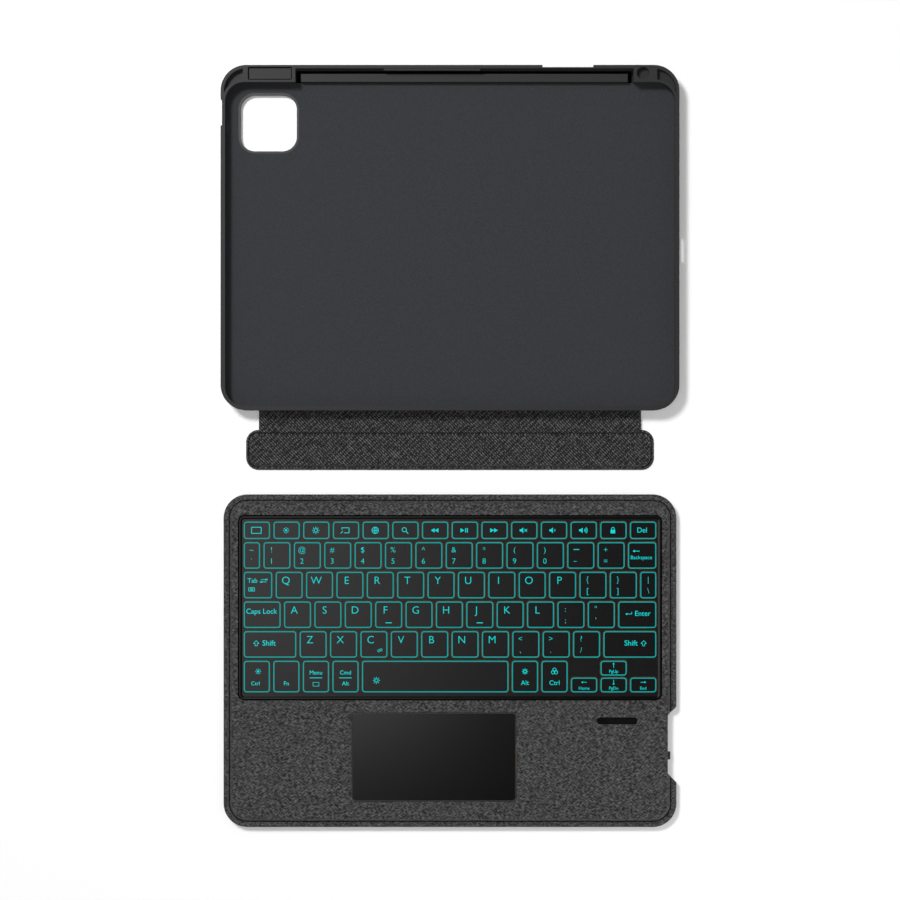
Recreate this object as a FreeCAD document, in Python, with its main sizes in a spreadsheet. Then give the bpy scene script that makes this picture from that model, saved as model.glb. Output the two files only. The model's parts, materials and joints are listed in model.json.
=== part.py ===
"""Keyboard case for an 11-inch-class tablet, in two pieces that dock together.

A bumper shell with a folding stand carries a fabric hinge strip and a magnetic bar.  The bar slides
under the rear edge of a slim keyboard base.  Everything lies face up on a desk: +X to the right,
+Y towards the shell, +Z up, with the origin under the middle of the whole set.
"""
import FreeCAD, Part
import os
import re
import Sketcher
from FreeCAD import Placement, Rotation, Vector

# Driving sizes in millimetres
SIZES = {
    # bumper shell and its tablet tray
    "shell_width": 251.5, "shell_near": 20.1, "shell_height": 8.6, "shell_radius": 14.0,
    "wall": 1.9, "tray_depth": 178.6, "tray_radius": 11.0, "top_band": 8.8,
    "lip_height": 0.3, "lip_reach": 0.5,
    "cover_thick": 1.4, "plate_thick": 0.6, "lining_thick": 0.2,
    # stylus channel, moulded pockets and button recesses in the shell's walls
    "channel_x": 7.9, "channel_length": 185.4, "channel_wall": 1.8,
    "rail_length": 179.7, "rail_width": 4.3, "rail_height": 2.8, "rail_back": 4.2,
    "inset_x": 98.8, "inset_length": 23.7, "inset_width": 6.6, "inset_depth": 0.6,
    "hole_x": 105.8, "hole_radius": 3.4, "pocket_depth": 3.0, "pocket_rim": 1.8,
    "button_x": 64.7, "button_length": 28.0, "button_depth": 1.2,
    "power_back": 25.9, "power_length": 14.5, "power_depth": 0.95, "recess_low": 2.5,
    "port_length": 14.0, "port_low": 3.2, "port_height": 4.0,
    "speaker_length": 20.0, "speaker_low": 4.0, "speaker_height": 2.4, "speaker_spread": 60.0,
    "camera_x": 100.0, "camera_back": 22.0, "camera_width": 31.0, "camera_radius": 8.0,
    "camera_rim": 1.2,
    # folding stand in the shell's back
    "stand_reach": 92.7, "knuckle_radius": 0.6, "pin_radius": 0.35, "pin_play": 0.05,
    "stand_gap": 0.3, "stand_skin": 0.3, "band_depth": 8.0,
    "bracket_x": 85.0, "bracket_length": 20.0, "leaf_depth": 7.0, "leaf_thick": 0.4,
    # fabric hinge strip
    "strip_width": 211.0, "strip_thick": 1.2, "strip_length": 13.3, "strip_gap": 0.24,
    # docking bar
    "bar_width": 225.3, "bar_depth": 22.1, "bar_ear": 3.5, "bar_height": 1.8, "bar_radius": 6.8,
    "bar_flange": 2.0, "bar_flange_height": 0.5, "bar_slope": 0.9, "bar_skin": 0.3,
    "core_margin": 4.2, "core_height": 1.0, "bar_notch_play": 0.3,
    "magnet_length": 20.0, "magnet_depth": 4.2, "magnet_height": 1.0, "magnet_pitch": 38.0,
    # keyboard base
    "base_width": 249.5, "base_depth": 183.3, "base_back": 26.1, "base_radius": 13.0,
    "base_flange": 2.9, "flange_low": 2.4, "flange_height": 0.9, "deck_slope": 1.8, "deck_top": 5.2,
    "fabric_thick": 0.3, "deck_thick": 0.8, "side_wall": 3.65,
    "pan_low": 0.4, "pan_thick": 0.7, "dock_play": 0.3, "dock_height": 2.0, "dock_wall": 0.8,
    "grip_length": 196.0, "grip_depth": 6.0, "grip_inset": 4.0,
    # keys, their island and the layers under them
    "island_width": 233.3, "island_depth": 101.1, "island_back": 11.3, "island_radius": 3.5,
    "island_top": 5.0, "island_flange": 1.1, "island_flange_height": 0.5,
    "key_field": 227.0, "key_gap": 1.65, "key_width": 15.05, "row_gap": 1.5,
    "top_row": 9.8, "key_row": 14.8, "space_row": 17.6,
    "grave_width": 9.2, "tab_width": 15.9, "caps_width": 20.5, "shift_width": 29.1,
    "small_width": 14.6, "arrow_gap": 0.9, "key_low": 4.3, "key_height": 1.2, "key_radius": 1.6,
    "key_play": 0.3, "stack_margin": 2.0,
    "guide_thick": 0.2, "steel_thick": 0.3, "film_thick": 0.15,
    "dome_radius": 2.2, "dome_tip": 1.4, "clip_margin": 0.9, "clip_wall": 0.7, "clip_lift": 0.15,
    "rib_width": 4.0, "led_length": 3.0, "led_depth": 1.2, "led_height": 0.45, "led_pitch": 21.0,
    # touchpad
    "pad_x": 8.8, "pad_back": 120.1, "pad_width": 90.1, "pad_depth": 48.6, "pad_radius": 2.2,
    "pad_play": 0.25, "pad_top": 5.0, "pad_glass": 0.6, "pad_board": 0.5, "pad_margin": 2.5,
    "bead_radius": 0.3, "bead_inset": 1.5, "cradle_length": 80.0, "cradle_depth": 2.4,
    "cradle_play": 0.05, "click_size": 6.0, "click_gap": 0.45,
    # side notch with the charging port and the power switch
    "notch_back": 137.7, "notch_length": 42.0, "notch_depth": 5.0,
    "usb_back": 130.2, "usb_width": 9.0, "usb_height": 2.9, "usb_length": 7.3, "usb_shell": 0.25,
    "tongue_width": 6.6, "tongue_thick": 0.7, "tongue_length": 5.0,
    "knob_back": 143.9, "knob_length": 4.2, "knob_height": 1.5, "knob_proud": 1.6,
    "knob_travel": 2.5, "knob_play": 0.2, "knob_low": 1.8,
    "switch_length": 9.0, "switch_height": 2.1,
    # electronics in the palm rest
    "board_x": 75.0, "board_back": 145.0, "board_length": 74.6, "board_depth": 46.0,
    "board_thick": 0.8, "cell_x": 88.0, "cell_length": 48.0, "cell_depth": 44.0, "cell_thick": 2.6,
    "lamp_x": 91.9, "lamp_back": 124.5, "lamp_length": 22.3, "lamp_width": 3.85,
    "lamp_flange": 1.0, "lamp_flange_height": 0.4, "lamp_top": 5.1, "lamp_pitch": 5.0,
    "lamp_chip": 1.6, "lamp_chip_height": 0.7,
    "ribbon_width": 14.0, "ribbon_thick": 0.12, "ribbon_x": 60.0, "ribbon_bite": 1.2,
    # cover screws
    "screw_x": 115.0, "screw_inner": 53.0, "screw_inner_x": -8.8, "screw_front": 8.9,
    "screw_rear": 65.9, "post_radius": 1.6, "screw_radius": 0.6, "screw_play": 0.05,
    "screw_head": 1.2, "screw_head_height": 0.3, "screw_sink": 0.05, "screw_tip": 0.4,
}

doc = FreeCAD.newDocument("TabletKeyboardCase")
sheet = doc.addObject("Spreadsheet::Sheet", "Dims")
for row, (alias, value) in enumerate(SIZES.items(), start=1):
    sheet.set("A%d" % row, alias)
    sheet.set("B%d" % row, str(value))
    sheet.setAlias("B%d" % row, alias)
doc.recompute()

nodes = {}


def size(alias):
    """A driving size, read from the sheet."""
    return float(getattr(sheet, alias))


def bind(item, prop, formula):
    """Tie a property to a formula written in the sheet's own names."""
    words = re.sub(r"[a-z_]+", lambda word: ("Dims." if word.group() in SIZES else "") + word.group(), formula)
    item.setExpression(prop, words)


def place(item, at):
    for axis, formula in zip("xyz", at):
        bind(item, "Placement.Base." + axis, formula)


def node(item, name):
    """Name a finished sub-part."""
    item.Label = name
    nodes[name] = item
    return item


def new_body(name, at):
    body = doc.addObject("PartDesign::Body", name)
    place(body, at)
    return body


def rectangle(body, width, depth):
    """A rectangle centred on the body's own origin, in its XY plane."""
    sketch = body.newObject("Sketcher::SketchObject", body.Name + "_outline")
    plane = [part for part in body.Origin.OriginFeatures if part.Role == "XY_Plane"][0]
    sketch.AttachmentSupport = [(plane, "")]
    sketch.MapMode = "FlatFace"
    corners = [Vector(-9, -9, 0), Vector(9, -9, 0), Vector(9, 9, 0), Vector(-9, 9, 0)]
    for side in range(4):
        sketch.addGeometry(Part.LineSegment(corners[side], corners[(side + 1) % 4]), False)
    for side in range(4):
        sketch.addConstraint(Sketcher.Constraint("Coincident", side, 2, (side + 1) % 4, 1))
        sketch.addConstraint(Sketcher.Constraint("Vertical" if side % 2 else "Horizontal", side))
    sketch.addConstraint(Sketcher.Constraint("Symmetric", 0, 1, 2, 1, -1, 1))
    for name, kind, side, formula in (("width", "DistanceX", 0, width), ("depth", "DistanceY", 1, depth)):
        index = sketch.addConstraint(Sketcher.Constraint(kind, side, 1, side, 2, 18.0))
        sketch.renameConstraint(index, name)
        bind(sketch, "Constraints." + name, formula)
    return sketch


def pad(body, sketch, height):
    feature = body.newObject("PartDesign::Pad", body.Name + "_pad")
    feature.Profile = sketch
    bind(feature, "Length", height)
    doc.recompute()
    return feature


def round_corners(body, feature, radius):
    """Round the four upright edges at the block's outermost corners."""
    reach = feature.Shape.BoundBox
    middle = reach.Center
    names = []
    for index, edge in enumerate(feature.Shape.Edges, start=1):
        point = edge.CenterOfMass - middle
        if abs(abs(point.x) - reach.XLength / 2) < 0.01 and abs(abs(point.y) - reach.YLength / 2) < 0.01:
            names.append("Edge%d" % index)
    fillet = body.newObject("PartDesign::Fillet", body.Name + "_corners")
    fillet.Base = (feature, names)
    bind(fillet, "Radius", radius)
    doc.recompute()
    return fillet


def slope_top(body, feature, slope):
    """Slope the rim of the topmost face down and outwards."""
    top = feature.Shape.BoundBox.ZMax
    names = ["Edge%d" % index for index, edge in enumerate(feature.Shape.Edges, start=1)
             if all(abs(vertex.Z - top) < 0.001 for vertex in edge.Vertexes)]
    chamfer = body.newObject("PartDesign::Chamfer", body.Name + "_slope")
    chamfer.Base = (feature, names)
    bind(chamfer, "Size", slope)
    doc.recompute()


def plate(name, width, depth, height, at, radius=None):
    """A flat plate with rounded corners; at is the middle of its lower face."""
    body = new_body(name, at)
    feature = pad(body, rectangle(body, width, depth), height)
    if radius:
        round_corners(body, feature, radius)
    return body


def raised_plate(name, width, depth, at, radius, flange, flange_height, slope, height):
    """A thin flange with a smaller sloped block raised on it."""
    body = new_body(name, at)
    inner = rectangle(body, f"{width} - 2*{flange}", f"{depth} - 2*{flange}")
    raised = round_corners(body, pad(body, inner, height), f"{radius} - {flange}")
    slope_top(body, raised, slope)
    sheet_pad = pad(body, rectangle(body, width, depth), flange_height)
    round_corners(body, sheet_pad, radius)
    return body


def block(name, width, depth, height, at):
    """A plain box; at is the middle of its lower face."""
    box = doc.addObject("Part::Box", name)
    bind(box, "Length", width)
    bind(box, "Width", depth)
    bind(box, "Height", height)
    place(box, (f"{at[0]} - ({width})/2", f"{at[1]} - ({depth})/2", at[2]))
    return box


def rod(name, radius, length, at):
    """A round bar along X; at is its middle."""
    bar = doc.addObject("Part::Cylinder", name)
    bar.Placement = Placement(Vector(), Rotation(Vector(0, 1, 0), 90))
    bind(bar, "Radius", radius)
    bind(bar, "Height", length)
    place(bar, (f"{at[0]} - ({length})/2", at[1], at[2]))
    return bar


def post(name, radius, height, at):
    """A round post along Z; at is the middle of its lower face."""
    cylinder = doc.addObject("Part::Cylinder", name)
    bind(cylinder, "Radius", radius)
    bind(cylinder, "Height", height)
    place(cylinder, at)
    return cylinder


def fuse(name, *pieces):
    joined = doc.addObject("Part::MultiFuse", name)
    joined.Shapes = list(pieces)
    joined.Refine = True
    return joined


def group(name, *pieces):
    """Separate solids kept together as one sub-part."""
    together = doc.addObject("Part::Compound", name)
    together.Links = list(pieces)
    return together


def cut(name, base, *tools):
    result = doc.addObject("Part::Cut", name)
    result.Base = base
    result.Tool = tools[0] if len(tools) == 1 else group(name + "_tools", *tools)
    return result


def common(name, base, tool):
    result = doc.addObject("Part::Common", name)
    result.Base = base
    result.Tool = tool
    return result


# Places that several pieces share
TRAY_WIDTH = "(shell_width - 2*wall)"
SHELL_DEPTH = "(wall + tray_depth + top_band)"
SHELL_FAR = f"(shell_near + {SHELL_DEPTH})"
SHELL_Y = f"(shell_near + {SHELL_DEPTH}/2)"
TRAY_NEAR = "(shell_near + wall)"
TRAY_FAR = f"({TRAY_NEAR} + tray_depth)"
TRAY_Y = f"({TRAY_NEAR} + tray_depth/2)"
BACK_THICK = "(cover_thick + plate_thick + lining_thick)"
STAND_Y = "(shell_near + stand_reach)"
CREASE_SHELL = "(shell_near - strip_gap - strip_thick/2)"
CREASE_BAR = f"({CREASE_SHELL} - strip_length)"
BAR_FAR = f"({CREASE_BAR} + bar_ear)"
BAR_Y = f"({BAR_FAR} - bar_depth/2)"
BASE_Y = "(-base_back - base_depth/2)"
BASE_FRONT = "(-base_back - base_depth)"
DOCKED_CREASE = "(-base_back + dock_play + strip_thick/2)"
DOCK_FRONT = f"({DOCKED_CREASE} + bar_ear - bar_depth - dock_play)"
DOCK_TRAVEL = f"({CREASE_BAR} - {DOCKED_CREASE})"
HOLLOW_WIDTH = "(base_width - 2*base_flange - 2*side_wall)"
HOLLOW_DEPTH = "(base_depth - 2*base_flange - 2*side_wall)"
DECK_UNDER = "(deck_top - fabric_thick - deck_thick)"
PAN_FLOOR = "(pan_low + pan_thick)"
ISLAND_Y = "(-base_back - island_back - island_depth/2)"
STACK_WIDTH = "(island_width - 2*stack_margin)"
STACK_DEPTH = "(island_depth - 2*stack_margin)"
FILM_TOP = "(flange_low + guide_thick + steel_thick + film_thick)"
PAD_REAR = "(-base_back - pad_back)"
PAD_Y = f"({PAD_REAR} - pad_depth/2)"
NOTCH_X = "(base_width/2 - notch_depth)"
BOARD_TOP = f"({PAN_FLOOR} + board_thick)"


def crescent(name, side):
    """The moulded pocket that follows one outer corner, between the rim and the tray's corner."""
    turn_x = f"{side}*(shell_width/2 - shell_radius)"
    low = "shell_height - pocket_depth"
    disc = post(name + "_disc", "shell_radius - pocket_rim", "pocket_depth",
                (turn_x, f"{SHELL_FAR} - shell_radius", low))
    half = block(name + "_half", "shell_radius", "2*shell_radius", "pocket_depth",
                 (f"{turn_x} + {side}*(shell_radius/2 + pocket_rim)", f"{SHELL_FAR} - shell_radius", low))
    corner = post(name + "_corner", "tray_radius + pocket_rim/2", "pocket_depth",
                  (f"{side}*({TRAY_WIDTH}/2 - tray_radius)", f"{TRAY_FAR} - tray_radius", low))
    strip = block(name + "_strip", "shell_radius", "tray_depth", "pocket_depth",
                  (turn_x + f"+ {side}*shell_radius/2", f"{TRAY_FAR} - tray_radius - tray_depth/2", low))
    return cut(name, common(name + "_quarter", disc, half), fuse(name + "_keep", corner, strip))


def bumper_frame():
    blank = plate("bumper_blank", "shell_width", SHELL_DEPTH, "shell_height", ("0", SHELL_Y, "0"), "shell_radius")
    under_lip = "(shell_height - lip_height)"
    tray = plate("tray_space", TRAY_WIDTH, "tray_depth", under_lip, ("0", TRAY_Y, "0"), "tray_radius")
    mouth = plate("tray_mouth", f"{TRAY_WIDTH} - 2*lip_reach", "tray_depth - 2*lip_reach", "lip_height",
                  ("0", TRAY_Y, under_lip), "tray_radius - lip_reach")
    open_height = f"(shell_height - {BACK_THICK})"
    channel = block("channel_space", "channel_length", "top_band - channel_wall + wall", open_height,
                    ("channel_x", f"{SHELL_FAR} - channel_wall - (top_band - channel_wall + wall)/2", BACK_THICK))
    rise = "(shell_height - recess_low)"
    buttons = block("button_space", "button_length", "button_depth", rise,
                    ("button_x", f"{SHELL_FAR} - button_depth/2", "recess_low"))
    power = block("power_space", "power_depth", "power_length", rise,
                  ("-shell_width/2 + power_depth/2", f"{SHELL_FAR} - power_back", "recess_low"))
    inset = block("inset_space", "inset_length", "inset_width", "inset_depth",
                  ("-inset_x", f"{SHELL_FAR} - top_band/2", "shell_height - inset_depth"))
    dimple = post("dimple_space", "hole_radius", "pocket_depth",
                  ("hole_x", f"{SHELL_FAR} - top_band/2", "shell_height - pocket_depth"))
    port = block("port_space", "2*wall", "port_length", "port_height", ("shell_width/2", TRAY_Y, "port_low"))
    hollows = [fuse("tray_hollow", tray, mouth, channel), buttons, power, inset, dimple, port]
    hollows += [crescent("left_crescent", "-1"), crescent("right_crescent", "1")]
    for side in ("-1", "1"):
        for along in ("-1", "1"):
            hollows.append(block("speaker_space", "2*wall", "speaker_length", "speaker_height",
                                 (f"{side}*shell_width/2", f"{TRAY_Y} + {along}*speaker_spread", "speaker_low")))
    node(cut("bumper", blank, *hollows), "bumper_frame")


def camera_space(name, margin):
    width = f"camera_width + 2*({margin})"
    return plate(name, width, width, BACK_THICK, ("-camera_x", f"{TRAY_FAR} - camera_back", "0"),
                 f"camera_radius + ({margin})")


def tray_sheet(name, thick, low):
    return plate(name, TRAY_WIDTH, "tray_depth", thick, ("0", TRAY_Y, low), "tray_radius")


def shell_back():
    node(cut("back_plate_cut", tray_sheet("back_plate_blank", "plate_thick", "cover_thick"),
             camera_space("plate_window", "camera_rim")), "back_plate")
    node(cut("lining_cut", tray_sheet("lining_blank", "lining_thick", "cover_thick + plate_thick"),
             camera_space("lining_window", "camera_rim")), "tray_lining")
    node(cut("camera_ring_cut", camera_space("camera_ring_blank", "camera_rim"),
             camera_space("camera_window", "0")), "camera_ring")
    cover_near = f"({STAND_Y} + knuckle_radius + stand_gap)"
    cover_depth = f"({TRAY_FAR} - {cover_near})"
    upper = common("upper_cover", tray_sheet("upper_cover_blank", "cover_thick", "0"),
                   block("upper_cover_reach", "shell_width", cover_depth, "cover_thick",
                         ("0", f"{cover_near} + {cover_depth}/2", "0")))
    leaves = [leaf(f"leaf_space_{side}", side) for side in ("-1", "0", "1")]
    node(cut("upper_cover_cut", upper, camera_space("cover_window", "camera_rim"), *leaves), "upper_back_cover")
    node(common("lower_band", tray_sheet("lower_band_blank", "cover_thick", "0"),
                block("lower_band_reach", "shell_width", "band_depth", "cover_thick",
                      ("0", f"{TRAY_NEAR} + band_depth/2", "0"))), "lower_back_band")
    node(block("rail", "rail_length", "rail_width", "rail_height",
               ("channel_x", f"{SHELL_FAR} - rail_back - rail_width/2", BACK_THICK)), "stylus_rail")


def leaf(name, side):
    """The flat leaf of one stand bracket, let into the upper cover against the back plate."""
    return block(name, "bracket_length", "leaf_depth", "leaf_thick",
                 (f"{side}*bracket_x", f"{STAND_Y} + knuckle_radius + stand_gap + leaf_depth/2",
                  "cover_thick - leaf_thick"))


def folding_stand():
    axis_z = "knuckle_radius"
    brackets = []
    gaps = []
    for side in ("-1", "0", "1"):
        middle = f"{side}*bracket_x"
        knuckle = rod(f"bracket_knuckle_{side}", "knuckle_radius", "bracket_length", (middle, STAND_Y, axis_z))
        arm_depth = "(knuckle_radius + stand_gap)"
        arm = block(f"bracket_arm_{side}", "bracket_length", arm_depth, "leaf_thick",
                    (middle, f"{STAND_Y} + {arm_depth}/2", "cover_thick - leaf_thick"))
        riser = block(f"bracket_riser_{side}", "bracket_length", "2*pin_radius", "cover_thick - 2*knuckle_radius + leaf_thick",
                      (middle, STAND_Y, "2*knuckle_radius - leaf_thick"))
        whole = fuse(f"bracket_{side}", knuckle, riser, arm, leaf(f"bracket_leaf_{side}", side))
        bore = rod(f"bracket_bore_{side}", "pin_radius + pin_play", "2*bracket_length", (middle, STAND_Y, axis_z))
        brackets.append(cut(f"bored_bracket_{side}", whole, bore))
        gaps.append(block(f"knuckle_gap_{side}", "bracket_length + 2*stand_gap", "4*knuckle_radius", "cover_thick",
                          (middle, STAND_Y, "0")))
    node(group("brackets", *brackets), "stand_brackets")
    panel_width = f"({TRAY_WIDTH} - 2*stand_gap)"
    panel_depth = "(stand_reach - wall - band_depth - stand_gap)"
    panel = block("stand_sheet", panel_width, panel_depth, "2*knuckle_radius - stand_skin",
                  ("0", f"{STAND_Y} - {panel_depth}/2", "stand_skin"))
    barrel = rod("stand_barrel", "knuckle_radius", panel_width, ("0", STAND_Y, axis_z))
    pin_space = rod("stand_bore", "pin_radius", "2*shell_width", ("0", STAND_Y, axis_z))
    skin_depth = f"({panel_depth} - 2*knuckle_radius)"
    skin_y = f"{STAND_Y} - {panel_depth} + {skin_depth}/2"
    node(cut("stand_panel", fuse("stand_whole", panel, barrel), group("stand_gaps", *gaps), pin_space), "kickstand_panel")
    node(block("stand_cover", panel_width, skin_depth, "stand_skin", ("0", skin_y, "0")), "kickstand_skin")
    node(rod("stand_pin", "pin_radius", panel_width, ("0", STAND_Y, axis_z)), "kickstand_pin")


def hinge_strip():
    mid = "strip_thick/2"
    web = block("strip_web", "strip_width", "strip_length", "strip_thick", ("0", f"{CREASE_SHELL} - strip_length/2", "0"))
    shell_edge = rod("strip_shell_edge", mid, "strip_width", ("0", CREASE_SHELL, mid))
    bar_edge = rod("strip_bar_edge", mid, "strip_width", ("0", CREASE_BAR, mid))
    node(fuse("strip", web, shell_edge, bar_edge), "hinge_strip")


def magnets(name, y, low):
    places = [f"{step}*magnet_pitch" for step in ("-2.5", "-1.5", "-0.5", "0.5", "1.5", "2.5")]
    return [block(f"{name}_{index}", "magnet_length", "magnet_depth", "magnet_height", (x, y, low))
            for index, x in enumerate(places)]


def docking_bar():
    notch_depth = "(bar_ear + strip_thick/2 + bar_notch_play)"

    def strip_notch(name):
        return block(name, "strip_width + 2*bar_notch_play", notch_depth, "bar_height",
                     ("0", f"{BAR_FAR} - {notch_depth}/2", "0"))

    core_depth = f"(bar_depth - {notch_depth} - core_margin)"
    core_at = ("0", f"{BAR_FAR} - {notch_depth} - {core_depth}/2", "bar_skin")
    core_width = "bar_width - 2*core_margin"
    raised = raised_plate("bar_form", "bar_width", "bar_depth", ("0", BAR_Y, "bar_skin"), "bar_radius",
                          "bar_flange", "bar_flange_height", "bar_slope", "(bar_height - bar_skin)")
    hollow = block("bar_hollow", core_width, core_depth, "core_height", core_at)
    node(cut("bar_skin_cut", cut("bar_notched", raised, strip_notch("bar_top_notch")), hollow), "bar_top_skin")
    bottom = plate("bar_sheet", "bar_width", "bar_depth", "bar_skin", ("0", BAR_Y, "0"), "bar_radius")
    node(cut("bar_sheet_cut", bottom, strip_notch("bar_bottom_notch")), "bar_bottom_skin")
    magnet_y = f"-base_back - base_flange - side_wall - magnet_depth/2 - dock_play + {DOCK_TRAVEL}"
    core = block("bar_plate", core_width, core_depth, "core_height", core_at)
    node(cut("bar_core_cut", core, *magnets("core_pocket", magnet_y, "bar_skin")), "bar_core")
    node(group("bar_magnet_set", *magnets("bar_magnet", magnet_y, "bar_skin")), "bar_magnets")


def notch_space(name):
    """The trapezoid cut from the base's right edge, open at the edge and narrower inside."""
    wedge = doc.addObject("Part::Wedge", name)
    wedge.Placement = Placement(Vector(), Rotation(Vector(0, 0, 1), 90))
    bind(wedge, "Xmin", "-notch_length/2")
    bind(wedge, "Xmax", "notch_length/2")
    bind(wedge, "X2min", "-notch_length/2 + notch_depth")
    bind(wedge, "X2max", "notch_length/2 - notch_depth")
    bind(wedge, "Ymin", "0")
    bind(wedge, "Ymax", "notch_depth")
    for prop in ("Zmin", "Z2min"):
        bind(wedge, prop, "0")
    for prop in ("Zmax", "Z2max"):
        bind(wedge, prop, "2*deck_top")
    place(wedge, ("base_width/2", "-base_back - notch_back", "0"))
    return wedge


def side_holes(name):
    """The ways through the notch's wall for the charging port and the switch knob."""
    usb = block(name + "_usb", "2*usb_length", "usb_width", "usb_height",
                (NOTCH_X, "-base_back - usb_back", PAN_FLOOR))
    slot_length = "(knob_length + knob_travel + 2*knob_play)"
    knob = block(name + "_knob", "2*usb_length", slot_length, "knob_height + 2*knob_play",
                 (NOTCH_X, "-base_back - knob_back - knob_travel/2", "knob_low - knob_play"))
    return [usb, knob]


SCREW_PLACES = [
    ("screw_x", "screw_front"), ("-screw_x", "screw_front"),
    ("screw_inner_x + screw_inner", "screw_front"), ("screw_inner_x - screw_inner", "screw_front"),
    ("screw_x", "screw_rear"), ("-screw_x", "screw_rear"),
]


def screw_posts(name, radius, height, low):
    return [post(f"{name}_{index}", radius, height, (x, f"{BASE_FRONT} + {front}", low))
            for index, (x, front) in enumerate(SCREW_PLACES)]


def bottom_cover():
    height = "(flange_low - pan_low)"
    blank = plate("pan_blank", "base_width - 2*base_flange", "base_depth - 2*base_flange", height,
                  ("0", BASE_Y, "pan_low"), "base_radius - base_flange")
    rear = f"({DOCK_FRONT} - dock_wall)"
    front = f"({BASE_Y} - {HOLLOW_DEPTH}/2)"
    hollow_depth = f"({rear} - {front})"
    hollow = block("pan_hollow", HOLLOW_WIDTH, hollow_depth, "flange_low - pan_low - pan_thick",
                   ("0", f"{front} + {hollow_depth}/2", PAN_FLOOR))
    dock_depth = f"(-base_back - {DOCK_FRONT})"
    dock = block("dock_space", "bar_width + 2*dock_play", dock_depth, "dock_height",
                 ("0", f"{DOCK_FRONT} + {dock_depth}/2", "0"))
    shell = cut("pan_shell", blank, hollow, dock)
    ribs = [block(f"pan_rib_{index}", STACK_WIDTH, "rib_width", f"flange_low - {PAN_FLOOR}",
                  ("0", f"{ISLAND_Y} - {STACK_DEPTH}/2 + {share}*{STACK_DEPTH}", PAN_FLOOR))
            for index, share in enumerate(("0", "0.35", "0.7"))]
    shafts = screw_posts("pan_shaft", "screw_radius + screw_play", "pan_low + pan_thick", "0")
    sinks = screw_posts("pan_sink", "screw_head + screw_play", "screw_head_height + screw_sink", "pan_low")
    drills = [fuse(f"pan_drill_{index}", *pair) for index, pair in enumerate(zip(shafts, sinks))]
    node(cut("pan_cut", fuse("pan_ribbed", shell, *ribs), notch_space("pan_notch"), *side_holes("pan_hole"), *drills),
         "bottom_cover")
    strips = [block(f"grip_{index}", "grip_length", "grip_depth", "pan_low", ("0", y, "0"))
              for index, y in enumerate((f"{rear} - grip_inset - grip_depth/2",
                                         f"{BASE_FRONT} + base_radius + grip_depth/2"))]
    node(group("grips", *strips), "grip_strips")
    heads = screw_posts("screw_head", "screw_head", "screw_head_height", "pan_low + screw_sink")
    shanks = screw_posts("screw_shank", "screw_radius", f"{DECK_UNDER} - screw_tip - pan_low - screw_sink",
                         "pan_low + screw_sink")
    node(group("screws", *[fuse(f"screw_{i}", *pair) for i, pair in enumerate(zip(heads, shanks))]), "cover_screws")


def deck_form(name, skin):
    """The base's upper form, or the same form one fabric thickness inside it."""
    return raised_plate(name, f"(base_width - 2*{skin})", f"(base_depth - 2*{skin})", ("0", BASE_Y, "flange_low"),
                        f"(base_radius - {skin})", "base_flange", f"(flange_height - {skin})", "deck_slope",
                        f"(deck_top - flange_low - {skin})")


def deck_windows(name):
    island = plate(name + "_island", "island_width", "island_depth", "deck_top", ("0", ISLAND_Y, "flange_low"),
                   "island_radius")
    pad_space = plate(name + "_pad", "pad_width + 2*pad_play", "pad_depth + 2*pad_play", "deck_top",
                      ("-pad_x", PAD_Y, "flange_low"), "pad_radius + pad_play")
    lamp = plate(name + "_lamp", "lamp_length", "lamp_width", "deck_top",
                 ("lamp_x", "-base_back - lamp_back", "flange_low"), "lamp_width*0.49")
    return [island, pad_space, lamp, notch_space(name + "_notch")]


def deck():
    node(cut("fabric_cut", cut("fabric_sheet", deck_form("fabric_form", "0"), deck_form("fabric_core", "fabric_thick")),
             *deck_windows("fabric")), "deck_fabric")
    hollow = block("deck_hollow", HOLLOW_WIDTH, HOLLOW_DEPTH, f"{DECK_UNDER} - flange_low", ("0", BASE_Y, "flange_low"))
    frame = cut("deck_open", deck_form("deck_form", "fabric_thick"), hollow)
    holders = screw_posts("deck_post", "post_radius", f"{DECK_UNDER} - {PAN_FLOOR}", PAN_FLOOR)
    drills = screw_posts("deck_drill", "screw_radius + screw_play", f"{DECK_UNDER} - screw_tip - {PAN_FLOOR} + screw_play",
                         PAN_FLOOR)
    windowed = cut("deck_windowed", frame, *deck_windows("deck"), *side_holes("deck_hole"))
    node(cut("deck_drilled", fuse("deck_with_posts", windowed, *holders), *drills), "deck_frame")


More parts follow.
